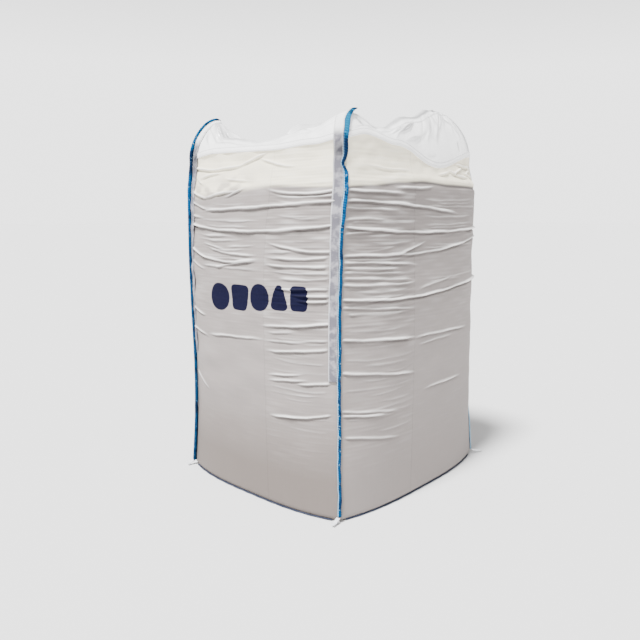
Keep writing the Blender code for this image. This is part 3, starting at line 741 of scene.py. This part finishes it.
def panel_surface(side):
    """The panel's finished grid and its map and attributes."""
    s, z, points = panel_grid(side)
    inside = eased(s / 0.03) * eased((1 - s) / 0.03)
    relief, folds = cloth_relief(side, s, z)
    lap = collar_lap(side + s * 0.999, z) * inside
    points = points + normals_of(points) * (relief + lap)[..., None]
    uv = np.stack(((s - 0.5) * 0.95, z), axis=-1)
    soft = around(((0.0, 0.045), (0.45, 0.035), (0.8, 0.012), (1.9, 0.012), (2.5, 0.02), (3.5, 0.03)), side + s * 0.999)
    above = z - around(FILL_LINE, side + s * 0.999)
    slack = eased(above / soft + 0.5)
    # in clumps near the fill line, less of the collar's painted light is blended in
    pressed = around(((0.0, 0.5), (0.35, 0.55), (0.6, 0.0), (1.5, 0.0), (2.3, 0.3), (3.2, 0.4)), side + s * 0.999)
    clump = eased(0.5 + 0.9 * waves(np.stack((s * 0.95, z * 1.4), axis=-1), 10, 0.05, 0.18, 120 + side))
    slack *= 1 - pressed * clump * eased(1.3 - above / 0.07)
    # hollow carries painted shade into the fold hollows, and crest a painted highlight onto the fold crests
    return points, uv, {"slack": slack, "hollow_shade": -(folds + lap) / 0.004, "crest_highlight": folds / 0.005}


def closed_panel(points):
    """Faces that close a grid behind: one strip per row from edge to edge, and a fan over each end row."""
    rows, columns = points.shape[:2]
    count = rows * columns
    low = np.arange(rows - 1) * columns
    back = np.stack((low, low + columns, low + 2 * columns - 1, low + columns - 1), axis=-1)
    top = (rows - 1) * columns + np.arange(columns)
    first = np.arange(columns)
    floor_fan = np.stack((np.full(columns, count), np.roll(first, -1), first), axis=-1)
    top_fan = np.stack((np.full(columns, count + 1), top, np.roll(top, -1)), axis=-1)
    middle = np.stack((points[0].mean(axis=0), points[-1].mean(axis=0)))
    all_points = np.concatenate((points.reshape(-1, 3), middle))
    return all_points, [grid_faces(rows, columns), back, floor_fan, top_fan]


PANEL_NAMES = ("front_panel", "right_panel", "back_panel", "left_panel")
for side, name in enumerate(PANEL_NAMES):
    grid, uv, values = panel_surface(side)
    points, faces = closed_panel(grid)
    uv = np.concatenate((uv.reshape(-1, 2), np.zeros((2, 2))))
    attributes = {key: np.append(np.clip(value, 0.0, 1.0).ravel(), (0.0, 0.0)) for key, value in values.items()}
    make_piece(name, points, faces, cloth_looks[side], ["filled_sack"], uv, attributes)

# %% [markdown]
# ## The bottom
# The bottom is one flat square of the same cloth. It is a thin slab of rings that shrink to a point, with
# the woven pattern mapped straight down.

# %% Build the bottom
BOTTOM_RINGS, BOTTOM_COLUMNS, BOTTOM_THICK = 14, 240, 0.006


def bottom_grid(height):
    """Rings from near the middle outwards at one height, inside the panels' lower edge."""
    place = np.arange(BOTTOM_COLUMNS) * 4.0 / BOTTOM_COLUMNS
    ring = wall(place, np.zeros(BOTTOM_COLUMNS))
    ring[:, :2] *= (1 - (EDGE_ROUND + 0.001) / np.linalg.norm(ring[:, :2], axis=1))[:, None]
    share = np.linspace(0.02, 1.0, BOTTOM_RINGS)[:, None, None]
    rings = ring[None] * share
    rings[..., 2] = height
    return rings


under = bottom_grid(0.0)[::-1]
over = bottom_grid(BOTTOM_THICK)
rings = np.concatenate((over[::-1][::-1], under))
stack = np.concatenate((under[::-1], over[::-1]))
rows = len(stack)
points = np.concatenate((stack.reshape(-1, 3), ((0.0, 0.0, 0.0), (0.0, 0.0, BOTTOM_THICK))))
count = rows * BOTTOM_COLUMNS
ring = np.arange(BOTTOM_COLUMNS)
ahead = (ring + 1) % BOTTOM_COLUMNS
faces = [
    grid_faces(rows, BOTTOM_COLUMNS, wrap=True),
    np.stack((np.full(BOTTOM_COLUMNS, count), ahead, ring), axis=-1),
    np.stack((np.full(BOTTOM_COLUMNS, count + 1), count - BOTTOM_COLUMNS + ring, count - BOTTOM_COLUMNS + ahead), axis=-1),
]
none = np.zeros(len(points))
make_piece(
    "bottom_panel", points, faces, bottom_look, ["filled_sack"], points[:, :2],
    {"slack": none, "hollow_shade": none, "crest_highlight": none},
)

# %% [markdown]
# ## The film top
# The film is one surface of rings. From the collar's edge it climbs a quarter turn to the rim, whose
# height changes round the bag and peaks over the corners, then drops quickly and runs in to a low middle.
# Crisp film creases into flat facets, so its relief is a sum of triangle waves, not of soft sines, with a
# few long ridges that run down from the ears.


# %% The film's surface
def film_surface(place, t):
    """A point of the film: t runs from 0 at the collar to 1 at the rim and 2 at the middle.

    The climb is nearly a quarter circle; the drop is 1 - (1 - f)^4 of the way down after a share f of the way in.
    """
    edge, rim, inset = around(COLLAR_EDGE, place), around(RIM_HEIGHT, place), around(RIM_INSET, place)
    climb, drop = np.clip(t, 0.0, 1.0), np.clip(t - 1, 0.0, 1.0)
    share = (1 - (1 - inset) * (1 - np.cos(0.5 * np.pi * climb)) ** RISE_POWER) * (1 - drop)
    height = edge + (rim - edge) * np.sin(0.5 * np.pi * climb) + (FILM_MIDDLE - rim) * (1 - (1 - drop) ** 4)
    points = wall(np.mod(place, 4.0), edge)
    nearest = np.round(place).astype(int)
    close = np.clip(1 - np.abs(place - nearest) / 0.3, 0.0, 1.0) ** 2
    lean = climb**2 * (1 - drop) ** 2 * close
    points[..., :2] = points[..., :2] * share[..., None] + EAR_LEAN[nearest % 4] * lean[..., None]
    points[..., 2] = height
    return points


def facets(points, count, low, high, seed):
    """Sum of triangle waves |2 frac - 1| in random directions: flat faces that meet in sharp creases."""
    draw = np.random.default_rng(seed)
    total = np.zeros(points.shape[:-1])
    for _ in range(count):
        direction = draw.normal(size=3)
        direction /= np.linalg.norm(direction) * draw.uniform(low, high)
        total += np.abs(2 * np.mod(points @ direction + draw.uniform(), 1.0) - 1) - 0.5
    return total / math.sqrt(count)


# %% Creases of the film
CLIMB_LENGTH = 0.19  # from the collar's edge up to the rim, on average
FILM_CREASES = (  # place and t at one end, the same at the other, rise, width, painted shade
    (1.20, 0.78, 1.50, 0.98, 0.010, 0.018, 0.42), (1.30, 0.31, 1.53, 0.72, 0.009, 0.005, 0.55),
    (1.24, 0.30, 1.42, 0.62, 0.006, 0.005, 0.35), (1.61, 0.86, 1.50, 0.26, -0.006, 0.006, 0.40),
    (1.66, 0.80, 1.56, 0.32, 0.008, 0.005, 0.45), (1.70, 0.84, 1.60, 0.40, -0.005, 0.006, 0.35),
    (1.75, 0.78, 1.63, 0.29, 0.007, 0.006, 0.45), (1.74, 0.76, 1.88, 0.48, 0.008, 0.005, 0.50),
    (1.88, 0.50, 1.91, 0.26, 0.007, 0.005, 0.35), (1.867, 0.24, 1.867, 0.08, -0.008, 0.006, 0.60),
    (1.36, 0.16, 1.56, 0.46, 0.005, 0.006, 0.25), (1.45, 0.22, 1.66, 0.64, -0.004, 0.007, 0.20),
    (1.05, 0.25, 1.20, 0.66, 0.006, 0.006, 0.35), (1.04, 0.66, 1.10, 0.30, -0.008, 0.008, 0.55),
    (0.03, 0.88, 0.22, 0.70, 0.008, 0.006, 0.40), (0.10, 0.98, 0.24, 0.86, -0.008, 0.006, 0.65),
    (0.05, 0.60, 0.16, 0.20, 0.005, 0.006, 0.30), (0.24, 0.84, 0.42, 0.70, 0.005, 0.005, 0.35),
    (1.63, 0.90, 1.60, 0.36, 0.004, 0.030, 0.30), (1.70, 0.88, 1.68, 0.44, 0.003, 0.016, 0.30),
    (0.04, 0.92, 0.14, 0.66, 0.003, 0.022, 0.26), (0.64, 1.05, 0.66, 0.78, 0.006, 0.014, 0.40),
    (0.55, 0.80, 0.72, 0.62, 0.005, 0.005, 0.30), (0.72, 0.90, 0.86, 0.40, 0.006, 0.005, 0.35),
)
RIM_FOLD_SHADE = (  # how much painted shade the doubled film carries along the rim, by places round the bag
    (0.0, 0.5), (0.25, 0.6), (0.5, 0.2), (0.9, 0.15), (1.15, 0.4), (1.3, 0.55), (1.6, 0.8), (2.0, 0.9),
    (2.3, 0.5), (2.6, 0.3), (3.0, 0.6), (3.3, 0.5), (3.6, 0.2),
)


def random_creases(count, start, end, low, high, seed):
    """Straight creases at random between two places, and between two values of t."""
    draw = np.random.default_rng(seed)
    rows = []
    for _ in range(count):
        a, t = draw.uniform(start, end), draw.uniform(low, high)
        b, u = a + draw.normal(0, 0.13), np.clip(t + draw.choice((-1, 1)) * draw.uniform(0.25, 0.55), low, high)
        rows.append((a, t, b, u, draw.uniform(-0.007, 0.009), draw.uniform(0.004, 0.008), draw.uniform(0.1, 0.4)))
    return rows


def ear_creases(seed):
    """Creases that fan out from the tip of every ear, down to the collar and inwards to the middle."""
    draw = np.random.default_rng(seed)
    rows = []
    for k in range(5):
        for spread in (-0.44, -0.30, -0.20, -0.12, 0.10, 0.19, 0.31, 0.43):
            a, b = k + 0.08 * spread + 0.02 * np.sign(spread), k + spread * draw.uniform(0.8, 1.1)
            size = draw.uniform(0.003, 0.009), draw.uniform(0.005, 0.010), draw.uniform(0.10, 0.35)
            rows.append((a, 0.95, b, draw.uniform(0.2, 0.6), *size))
            rows.append((a, 1.02, b, draw.uniform(1.3, 1.9), *size))
    return rows


ALL_CREASES = (
    list(FILM_CREASES) + ear_creases(31) + random_creases(16, 2.05, 3.95, 0.1, 0.95, 41)
    + random_creases(46, 0.0, 4.0, 1.05, 1.9, 42) + random_creases(8, 1.1, 1.9, 0.1, 0.9, 43)
)


def film_creases(place, t):
    """Relief and painted shade of all creases: each is a ridge rise exp(-d / width), where d is the distance to its
    line.

    Distances are in metres along the film. A ridge fades out towards both ends as a half sine.
    """
    relief, fold_shade = np.zeros(place.shape), np.zeros(place.shape)
    u, v = place * 0.95, t * CLIMB_LENGTH
    for a, t0, b, t1, rise, width, shade_strength in ALL_CREASES:
        run = np.array(((b - a) * 0.95, (t1 - t0) * CLIMB_LENGTH))
        du, dv = u - a * 0.95, v - t0 * CLIMB_LENGTH
        along = (du * run[0] + dv * run[1]) / (run @ run)
        bend = 0.05 * np.linalg.norm(run) * np.sin(np.pi * along * 1.5 + 9 * a)
        away = np.abs(du * run[1] - dv * run[0]) / np.linalg.norm(run)
        away = np.abs(away - bend * (t0 < 1.0) * 0.5)
        fade = np.sin(np.pi * np.clip(along, 0.0, 1.0)) ** 0.7
        relief += rise * fade * np.exp(-away / width)
        fold_shade = np.maximum(fold_shade, 1.35 * shade_strength * fade * np.exp(-((away / (0.85 * width)) ** 2)))
    return relief, fold_shade


def film_relief(place, t, points):
    """How far the film stands out, and how much painted shade it carries: pleats at the collar, creases, and creased
    facets.

    The facets grow away from the seams. The film doubles up at each seam, and painted shade greys it there too.
    """
    bent = points + 0.03 * np.stack([facets(points, 3, 0.3, 0.5, 200 + i) for i in range(3)], axis=-1)
    s = place - np.floor(place)
    reach = np.minimum(s, 1 - s)
    pleat = np.abs(2 * np.mod(place * 9.0 + 0.25 * np.sin(5 * place) + 0.1 * t, 1.0) - 1) - 0.5
    relief, fold_shade = film_creases(place, t)
    relief += 0.0030 * pleat * eased(t / 0.5) * eased((1.5 - t) / 0.6)
    relief += 0.006 * facets(bent, 7, 0.20, 0.40, 210) * eased((t - 0.15) / 0.6)
    relief += 0.0030 * facets(bent, 7, 0.05, 0.11, 220) * eased((t - 0.05) / 0.4)
    quiet = 1 - eased((reach - 0.01) / 0.06)
    relief = relief * (1 - quiet * eased((1.15 - t) / 0.2)) * eased((2.0 - t) / 0.15)
    # painted shade at each seam, along the folded rim and along a line just under the rim
    seam_shade_width = np.where(np.abs(place - 2) < 0.5, 0.034, 0.014)
    fold_shade = np.maximum(fold_shade, 0.85 * np.exp(-((reach / seam_shade_width) ** 2)) * eased((1.2 - t) / 0.2))
    below = (around(RIM_HEIGHT, place) - around(COLLAR_EDGE, place)) * (1 - np.sin(0.5 * np.pi * np.minimum(t, 1.0)))
    beyond = np.exp(-((np.maximum(t - 1, 0.0) / 0.06) ** 2))
    rim_shade = around(RIM_FOLD_SHADE, place) * beyond * np.exp(-(((below - 0.004) / 0.005) ** 2))
    rim_line_shade = 0.7 * around(RIM_FOLD_SHADE, place) * np.exp(-(((below - 0.021) / 0.0028) ** 2))
    return relief, np.clip(np.maximum(fold_shade, np.maximum(rim_shade, rim_line_shade)), 0.0, 1.0)


# %% Build the film
FILM_COLUMNS, CLIMB_ROWS, DROP_ROWS = 600, 66, 82
SINK = 0.004  # the film starts just inside the collar's edge
place = np.arange(FILM_COLUMNS) * 4.0 / FILM_COLUMNS
t = np.concatenate((np.linspace(0.0, 1.0, CLIMB_ROWS), 1 + np.linspace(0.0, 1.0, DROP_ROWS + 1)[1:-1] ** 1.4))
place_grid, t_grid = np.meshgrid(place, t)
film = film_surface(place_grid, t_grid)
wrapped = np.concatenate((film[:, -1:], film, film[:, :1]), axis=1)
relief, fold_shade = film_relief(place_grid, t_grid, film)
film = film + normals_of(wrapped)[:, 1:-1] * relief[..., None]
edge = around(COLLAR_EDGE, place)
hidden = []
for share in (0.25, 0.5, 0.75, 0.97):
    ring_points = wall(place, edge)
    ring_points[:, :2] *= share
    ring_points[:, 2] = HEAP + (edge - HEAP) * share**2 - SINK
    hidden.append(ring_points)
first = film[:1].copy()
first[..., :2] *= 0.995
first[..., 2] -= SINK
stack = np.concatenate((np.array(hidden), first, film))
rows = len(stack)
count = rows * FILM_COLUMNS
ring = np.arange(FILM_COLUMNS)
ahead = (ring + 1) % FILM_COLUMNS
points = np.concatenate((stack.reshape(-1, 3), ((0.0, 0.0, HEAP - SINK), (0.0, 0.0, FILM_MIDDLE))))
faces = [
    grid_faces(rows, FILM_COLUMNS, wrap=True),
    np.stack((np.full(FILM_COLUMNS, count), ahead, ring), axis=-1),
    np.stack((np.full(FILM_COLUMNS, count + 1), count - FILM_COLUMNS + ring, count - FILM_COLUMNS + ahead), axis=-1),
]
fold_shade = np.concatenate((np.zeros(5 * FILM_COLUMNS), fold_shade.ravel(), (0.0, 0.0)))
make_piece("film_cover", points, faces, film_look, ["film_top"], points[:, :2], {"fold_shade": fold_shade})
print("film from", points[:, 2].min().round(3), "to", points[:, 2].max().round(3))

# %% [markdown]
# ## The film's hem
# The film's lower edge is folded double and sewn over the collar, which shows as a white strip with two
# rows of stitches. It is a thin band that lies on the outside of the collar and of the film.

# %% Build the hem strip
HEM_BELOW, HEM_ABOVE, HEM_THICK, HEM_ROWS = 0.004, 0.021, 0.0012, 13
HEM_EDGE_SHADE = (  # how much painted shade the hem's two folded edges carry, by places round the bag
    (0.0, 0.30), (0.5, 0.25), (0.95, 0.35), (1.2, 0.30), (1.45, 0.75), (1.7, 0.85), (1.9, 0.55), (2.5, 0.5), (3.2, 0.4),
)
share = np.linspace(0.0, 1.0, HEM_ROWS)[:, None]
lift = -HEM_BELOW + (HEM_ABOVE + HEM_BELOW) * share
place_grid = np.broadcast_to(place, (HEM_ROWS, FILM_COLUMNS))
edge, rim = around(COLLAR_EDGE, place_grid), around(RIM_HEIGHT, place_grid)
climb = np.arcsin(np.clip(lift / (rim - edge), 0.0, 0.95)) / (0.5 * np.pi)
strip = film_surface(place_grid, climb)
strip[..., 2] = edge + lift
outward = strip * (1.0, 1.0, 0.0)
outward /= np.linalg.norm(outward, axis=-1, keepdims=True)
wave = 0.0010 * np.sin(place_grid * 2 * np.pi * 9 + 3 * np.sin(4 * place_grid))
roll = HEM_THICK * (1 - (2 * share - 1) ** 4) + 0.0012 * np.exp(-(((share - 0.93) / 0.05) ** 2))
outer = strip + outward * (0.0030 + roll + wave)[..., None]
inner = strip - outward * 0.0005
points, faces = shell(outer, inner, wrap=True)
uv = np.stack((place_grid * 0.95, lift + HEM_BELOW + 0 * place_grid), axis=-1).reshape(-1, 2)
# painted shade along the hem's two folded edges
edges = 0.9 * np.exp(-(((share - 0.97) / 0.06) ** 2)) + 0.6 * np.exp(-(((share - 0.35) / 0.07) ** 2))
shade = (edges * around(HEM_EDGE_SHADE, place_grid)).ravel()
make_piece(
    "film_hem", points, faces, film_hem_look, ["film_top"], np.concatenate((uv, uv)),
    {"fold_shade": np.concatenate((shade, shade))},
)

# %% [markdown]
# ## Corner seams
# The overlocked edging is a soft flat cord that runs up each corner, over the collar and up the edge of
# the ear. It is a profile carried along the corner's own path. The thread shows as small slanted bumps,
# and the cord wanders a little from side to side, as a sewn edge does.


# %% The path up a corner and the edging round it
def upright(place, low, cloth_rows, film_rows, end=1.0):
    """Points up the bag at given places: the wall from a low height to the collar, then the film up to t = end.

    The places are one row, or one row for each height where the path leans to one side.
    """
    share = np.linspace(0.0, 1.0, cloth_rows)[:, None]
    t = np.linspace(0.0, end, film_rows + 1)[1:, None]
    columns = place.shape[-1]
    place = np.broadcast_to(place, (cloth_rows + film_rows, columns))
    edge = around(COLLAR_EDGE, place)
    cloth = wall(np.mod(place[:cloth_rows], 4.0), (low + (edge[:cloth_rows] - low) * share))
    climb = film_surface(place[cloth_rows:], np.broadcast_to(t, (film_rows, columns)))
    return np.concatenate((cloth, climb))


SEAM_ROWS_CLOTH, SEAM_ROWS_FILM, SEAM_SIDES = 520, 90, 10
SEAM_STAND = (0.0190, 0.0090, 0.008, 0.0115)
SEAM_HALF = (0.0112, 0.0072, 0.0070, 0.0070)
SEAM_OVER = (1.020, 0.950, 1.0, 1.0)  # where each seam ends on the film, with 1 at the rim
SEAM_LIFT = (0.0, 0.012, 0.0, 0.0)  # how far the end of each stands up past the film
SEAM_BEND = (0.0, 0.014, 0.0, 0.0)  # how far the end of each bends aside
SEAM_TIP = (0.0100, 0.0, 0.0020, 0.0020)  # wider still at the tip of each ear
SEAM_ROLL = (  # how far round the corner each seam lies, by height, as (height, place)
    ((0.0, 0.010), (0.35, 0.008), (0.60, 0.0), (2.0, 0.0)), ((0.0, 0.0), (2.0, 0.0)),
    ((0.0, 0.0), (0.17, 0.0), (0.30, 0.022), (2.0, 0.022)), ((0.0, 0.0), (2.0, 0.0)),
)
SEAM_KINKS = (  # (height, shift, reach) of the places where a seam swerves
    ((0.84, -0.003, 0.03), (0.30, 0.003, 0.05)), ((1.372, -0.0110, 0.020), (1.50, 0.004, 0.05), (1.09, -0.003, 0.06), (0.12, 0.002, 0.06)),
    ((1.10, 0.004, 0.05), (0.60, -0.003, 0.04)), ((1.30, 0.006, 0.03), (0.80, -0.004, 0.06)),
)


def edging(k):
    """Rings of one seam: a flat round profile, wider above the sugar, with slanted thread bumps."""
    straight = upright(np.array([k + 0.0]), 0.022, SEAM_ROWS_CLOTH, SEAM_ROWS_FILM, SEAM_OVER[k])[:, 0, 2]
    roll = np.interp(straight, *np.array(SEAM_ROLL[k]).T)
    path = upright(k + 4.0 * (k == 0) + roll[:, None], 0.022, SEAM_ROWS_CLOTH, SEAM_ROWS_FILM, SEAM_OVER[k])[:, 0]
    z = path[:, 2]
    across = np.array((-CORNER_SIGNS[k, 1], CORNER_SIGNS[k, 0], 0.0)) / math.sqrt(2)
    forward = np.gradient(path, axis=0)
    forward /= np.linalg.norm(forward, axis=1, keepdims=True)
    outward = np.cross(across, forward)
    outward /= np.linalg.norm(outward, axis=1, keepdims=True)
    length = np.concatenate(((0.0,), np.cumsum(np.linalg.norm(np.diff(path, axis=0), axis=1))))
    path[:, 2] += SEAM_LIFT[k] * eased((length - length[-1] + 0.06) / 0.06)
    wander = 0.0009 * np.sin(2 * np.pi * length / 0.31 + k) + 0.0006 * np.sin(2 * np.pi * length / 0.083 + 2 * k)
    wander += SEAM_BEND[k] * eased((length - length[-1] + 0.06) / 0.07)
    for height, shift, reach in SEAM_KINKS[k]:
        wander += shift * np.exp(-(((z - height) / reach) ** 2))
    path = path + across * wander[:, None]
    half = SEAM_HALF[k] + 0.0020 * eased((z - 1.10) / 0.16) + 0.0012 * eased((z - 1.45) / 0.06)
    half = half + SEAM_TIP[k] * eased((length - length[-1] + 0.11) / 0.06)
    half = half - 0.0022 * np.exp(-(((z - 1.37) / 0.022) ** 2)) + 0.0004 * np.sin(2 * np.pi * length / 0.05)
    stand = SEAM_STAND[k] * 0.5 * (0.85 + 0.15 * eased((z - 1.0) / 0.3))
    stand = stand * (1 - 0.4 * eased((length - length[-1] + 0.25) / 0.2))
    tip = eased((length - length[-1] + 0.024) / 0.010)
    angle = 2 * np.pi * np.arange(SEAM_SIDES) / SEAM_SIDES
    thread = 1 + 0.09 * np.sin(2 * np.pi * length[:, None] / STITCH + angle)
    end = np.clip((length[-1] - length) / 0.008, 0.08, 1)
    taper = eased(length / 0.004 + 0.35) * np.sqrt(end * (2 - end))
    sideways = (half * taper)[:, None] * np.cos(angle) * thread
    out = 0.001 + (stand * taper)[:, None] * (1 + np.sin(angle) * thread)
    rings = path[:, None] + sideways[..., None] * across + out[..., None] * outward[:, None]
    uv = np.stack(np.broadcast_arrays(np.cos(angle), length[:, None]), axis=-1)
    return rings, uv, np.repeat(tip, SEAM_SIDES)


def capped(rings):
    """Points and faces of a tube of rings with a fan at each end."""
    rows, sides = rings.shape[:2]
    count = rows * sides
    ring = np.arange(sides)
    ahead = (ring + 1) % sides
    points = np.concatenate((rings.reshape(-1, 3), rings[0].mean(axis=0)[None], rings[-1].mean(axis=0)[None]))
    faces = [
        grid_faces(rows, sides, wrap=True), np.stack((np.full(sides, count), ahead, ring), axis=-1),
        np.stack((np.full(sides, count + 1), count - sides + ring, count - sides + ahead), axis=-1),
    ]
    return points, faces


for k in range(4):
    rings, uv, tip = edging(k)
    points, faces = capped(rings)
    uv = np.concatenate((uv.reshape(-1, 2), np.zeros((2, 2))))
    make_piece(
        f"seam_edging_{k + 1}", points, faces, seam_look, [f"corner_seam_{k + 1}"], uv,
        {"tip": np.append(tip, (0.0, 1.0))},
    )

# %% [markdown]
# ## Lifting webbing
# Beside each seam of the front and back panels lies the webbing of a lifting loop, sewn flat on the cloth
# from below the middle of the bag, and carried on up over the ear, where the film covers it. It follows
# the cloth under it, so it is a grid on the same wall, given its own thickness.

# %% Build the webbing
STRAP_NEAR, STRAP_END, STRAP_THICK = 0.0045, 0.555, 0.0026
STRAP_CLOTH, STRAP_FILM, STRAP_COLUMNS = 260, 50, 7
across_strap = np.linspace(0.0, 1.0, STRAP_COLUMNS)
number = 0
for side in (0, 2):
    for at_end in (False, True):
        number += 1
        climb = np.linspace(0.0, 1.0, STRAP_CLOTH + STRAP_FILM)[:, None]
        wide = STRAP_WIDTH * (1.02 + 0.28 * eased((climb - 0.35) / 0.35))
        reach = STRAP_NEAR + (1 - across_strap if at_end else across_strap) * wide
        lower = upright(side + (0.95 - reach if at_end else reach) / 0.95, STRAP_END, STRAP_CLOTH, STRAP_FILM)
        z = lower[..., 2]
        normal = normals_of(lower)
        puff = 0.0010 * np.sin(z * 41 + number) + 0.0016 * np.sin(z * 67 + 2 * number) * eased((z - 0.6) / 0.3)
        crown = 0.0006 * (1 - (2 * across_strap - 1) ** 4)
        base = 0.0026 + np.clip(puff, -0.001, 0.004)
        outer = lower + normal * (base + STRAP_THICK + crown)[..., None]
        inner = lower + normal * (base * 0.2)[..., None]
        points, faces = shell(outer, inner)
        length = np.concatenate(((0.0,), np.cumsum(np.linalg.norm(np.diff(lower[:, STRAP_COLUMNS // 2], axis=0), axis=1))))
        uv = np.stack(np.broadcast_arrays((across_strap - 0.5) * STRAP_WIDTH, length[:, None]), axis=-1).reshape(-1, 2)
        covered = np.clip((z - 1.474) / 0.03, 0.0, 1.0).ravel()
        # painted shadow of the film's hem on the webbing
        hem_shadow = np.exp(-(((z - 1.42) / 0.035) ** 2)).ravel()
        make_piece(
            f"strap_webbing_{number}", points, faces, webbing_look, [f"lifting_strap_{number}"],
            np.concatenate((uv, uv)),
            {"covered": np.concatenate((covered, covered)), "hem_shadow": np.concatenate((hem_shadow, hem_shadow))},
        )

# %% [markdown]
# ## Floor hems and corner tabs
# The bottom is sewn in with a dark blue cord, which peeps out under the overhang of each panel, and the
# end of each corner seam is caught in a white tab that lies out on the floor. The cord is a twisted tube,
# and the tab a bent strip with a folded end.

# %% Build the hems
HEM_RADIUS, HEM_POINTS, HEM_SIDES = 0.0036, 210, 8
for side in range(4):
    along = np.linspace(side + 0.03, side + 0.97, HEM_POINTS)
    ring_points = wall(along, np.full(HEM_POINTS, HEM_RADIUS + 0.0005))
    outward = ring_points * (1.0, 1.0, 0.0)
    outward /= np.linalg.norm(outward, axis=1, keepdims=True)
    centre = ring_points + outward * (0.0008 * np.sin(along * 2 * np.pi * 13) - 0.0048)[:, None]
    angle = 2 * np.pi * np.arange(HEM_SIDES) / HEM_SIDES
    length = (along - side) * 0.95
    radius = HEM_RADIUS * (0.90 + 0.10 * np.sin(2 * np.pi * length[:, None] / 0.009 + angle))
    rings = centre[:, None] + radius[..., None] * (
        np.cos(angle)[None, :, None] * outward[:, None] + np.sin(angle)[None, :, None] * np.array((0.0, 0.0, 1.0))
    )
    points, faces = capped(rings)
    uv = np.stack(np.broadcast_arrays(angle * 0.004, length[:, None]), axis=-1).reshape(-1, 2)
    make_piece(
        f"hem_cord_{side + 1}", points, faces, hem_look, [f"floor_hem_{side + 1}"],
        np.concatenate((uv, np.zeros((2, 2)))),
    )

# %% Build the tabs
TAB_WIDTH, TAB_THICK, TAB_TOP = 0.016, 0.0045, 0.018
TAB_RUNS = np.array(((-0.004, -0.036), (0.008, -0.040), (0.030, 0.046), (-0.034, 0.030)))
for k in range(4):
    run = np.array((*TAB_RUNS[k], 0.0))
    outward = run / np.linalg.norm(run)
    across = np.array((outward[1], -outward[0], 0.0))
    foot = np.array((*corner(k, np.array([TAB_TOP]))[0], TAB_TOP)) + outward * 0.0075
    steps = np.linspace(0.0, 1.0, 26)[:, None]
    drop = TAB_TOP - TAB_THICK - 0.001
    path = foot + run * steps - np.array((0.0, 0.0, drop)) * steps**0.8
    path = path + np.array((0.0, 0.0, 0.0022)) * np.sin(steps * 7.0 + k) * steps
    wide = np.linspace(-0.5, 0.5, 7)
    curl = 0.0016 * (2 * wide) ** 2
    lower = path[:, None] + wide[None, :, None] * TAB_WIDTH * (1 - 0.15 * steps[..., None]) * across
    lower[..., 2] += curl
    outer = lower + np.array((0.0, 0.0, TAB_THICK)) * (0.75 + 0.25 * np.cos(wide * np.pi))[None, :, None]
    inner = np.maximum(lower - (0.0, 0.0, 0.0006), (-9.0, -9.0, 0.0006))
    points, faces = shell(outer[::-1], inner[::-1])
    uv = np.stack(np.broadcast_arrays(wide * TAB_WIDTH, steps * 0.045), axis=-1).reshape(-1, 2)
    make_piece(
        f"tab_{k + 1}", points, faces, tab_look, [f"corner_tab_{k + 1}"], np.concatenate((uv, uv))
    )

# %% [markdown]
# ## Floor, light and camera
# A plain pale floor and a soft bright surround, lighter overhead than at the horizon, give the even light
# of a studio. One soft lamp, high and a little to the front, models the folds from above. The camera stands at about the
# height of the bag's shoulder, close enough to see both faces draw away from the near corner.

# %% Floor
mesh = bpy.data.meshes.new("floor")
angle = np.linspace(0, 2 * np.pi, 64, endpoint=False)
mesh.from_pydata(np.stack((40 * np.cos(angle), 40 * np.sin(angle), 0 * angle - 0.0005), axis=-1), [], [list(range(64))])
floor = bpy.data.objects.new("floor", mesh)
bpy.context.scene.collection.objects.link(floor)
made, tree, shader = new_material("pale_floor", 0.85)
place = add(tree, "ShaderNodeTexCoord").outputs["Object"]
shade = use(tree, mottle, {"Vector": place, "Size": 0.8, "Amount": 0.004})["Shade"]
tree.links.new(scaled(tree, (0.65, 0.65, 0.65), shade), shader.inputs["Base Color"])
mesh.materials.append(made)

# %% Surround and lamp
HORIZON, ZENITH = 2.95, 0.68
world = bpy.data.worlds.new("studio")
bpy.context.scene.world = world
world.use_nodes = True
tree = world.node_tree
direction = add(tree, "ShaderNodeTexCoord").outputs["Generated"]
height = add(tree, "ShaderNodeSeparateXYZ", {0: direction}).outputs[2]
level = add(tree, "ShaderNodeMapRange", {
    "Value": height, "From Min": 0.18, "From Max": 0.45, "To Min": HORIZON, "To Max": ZENITH,
}).outputs[0]
tree.links.new(level, tree.nodes["Background"].inputs["Strength"])
tree.nodes["Background"].inputs["Color"].default_value = (1.0, 1.0, 1.0, 1.0)


def sun_lamp(name, toward, strength, spread):
    """A soft sun: the light comes from a direction, evenly over the whole floor."""
    lamp = bpy.data.lights.new(name, "SUN")
    lamp.energy, lamp.angle = strength, math.radians(spread)
    holder = bpy.data.objects.new(name, lamp)
    x, y, z = toward
    holder.rotation_euler = (math.atan2(math.hypot(x, y), z), 0.0, math.atan2(x, -y))
    bpy.context.scene.collection.objects.link(holder)
    return holder


sun_lamp("key_lamp", (0.03, -0.43, 1.05), 12.2, 12.0)

# %% Camera
CAMERA_PLACE = np.array((2.182, -2.309, 1.235))
CAMERA_BACK = np.array((0.6433, -0.7462, 0.1714))
camera = bpy.data.cameras.new("camera")
camera.lens, camera.sensor_width, camera.shift_x = 38.25, 36.0, -0.0703
camera.clip_end = 200.0
holder = bpy.data.objects.new("camera", camera)
holder.location = CAMERA_PLACE
tilt = math.atan2(CAMERA_BACK[2], math.hypot(CAMERA_BACK[0], CAMERA_BACK[1]))
holder.rotation_euler = (math.pi / 2 - tilt, 0.0, math.atan2(CAMERA_BACK[0], -CAMERA_BACK[1]))
bpy.context.scene.collection.objects.link(holder)
bpy.context.scene.camera = holder
print("camera looks down", round(math.degrees(tilt), 1), "degrees")
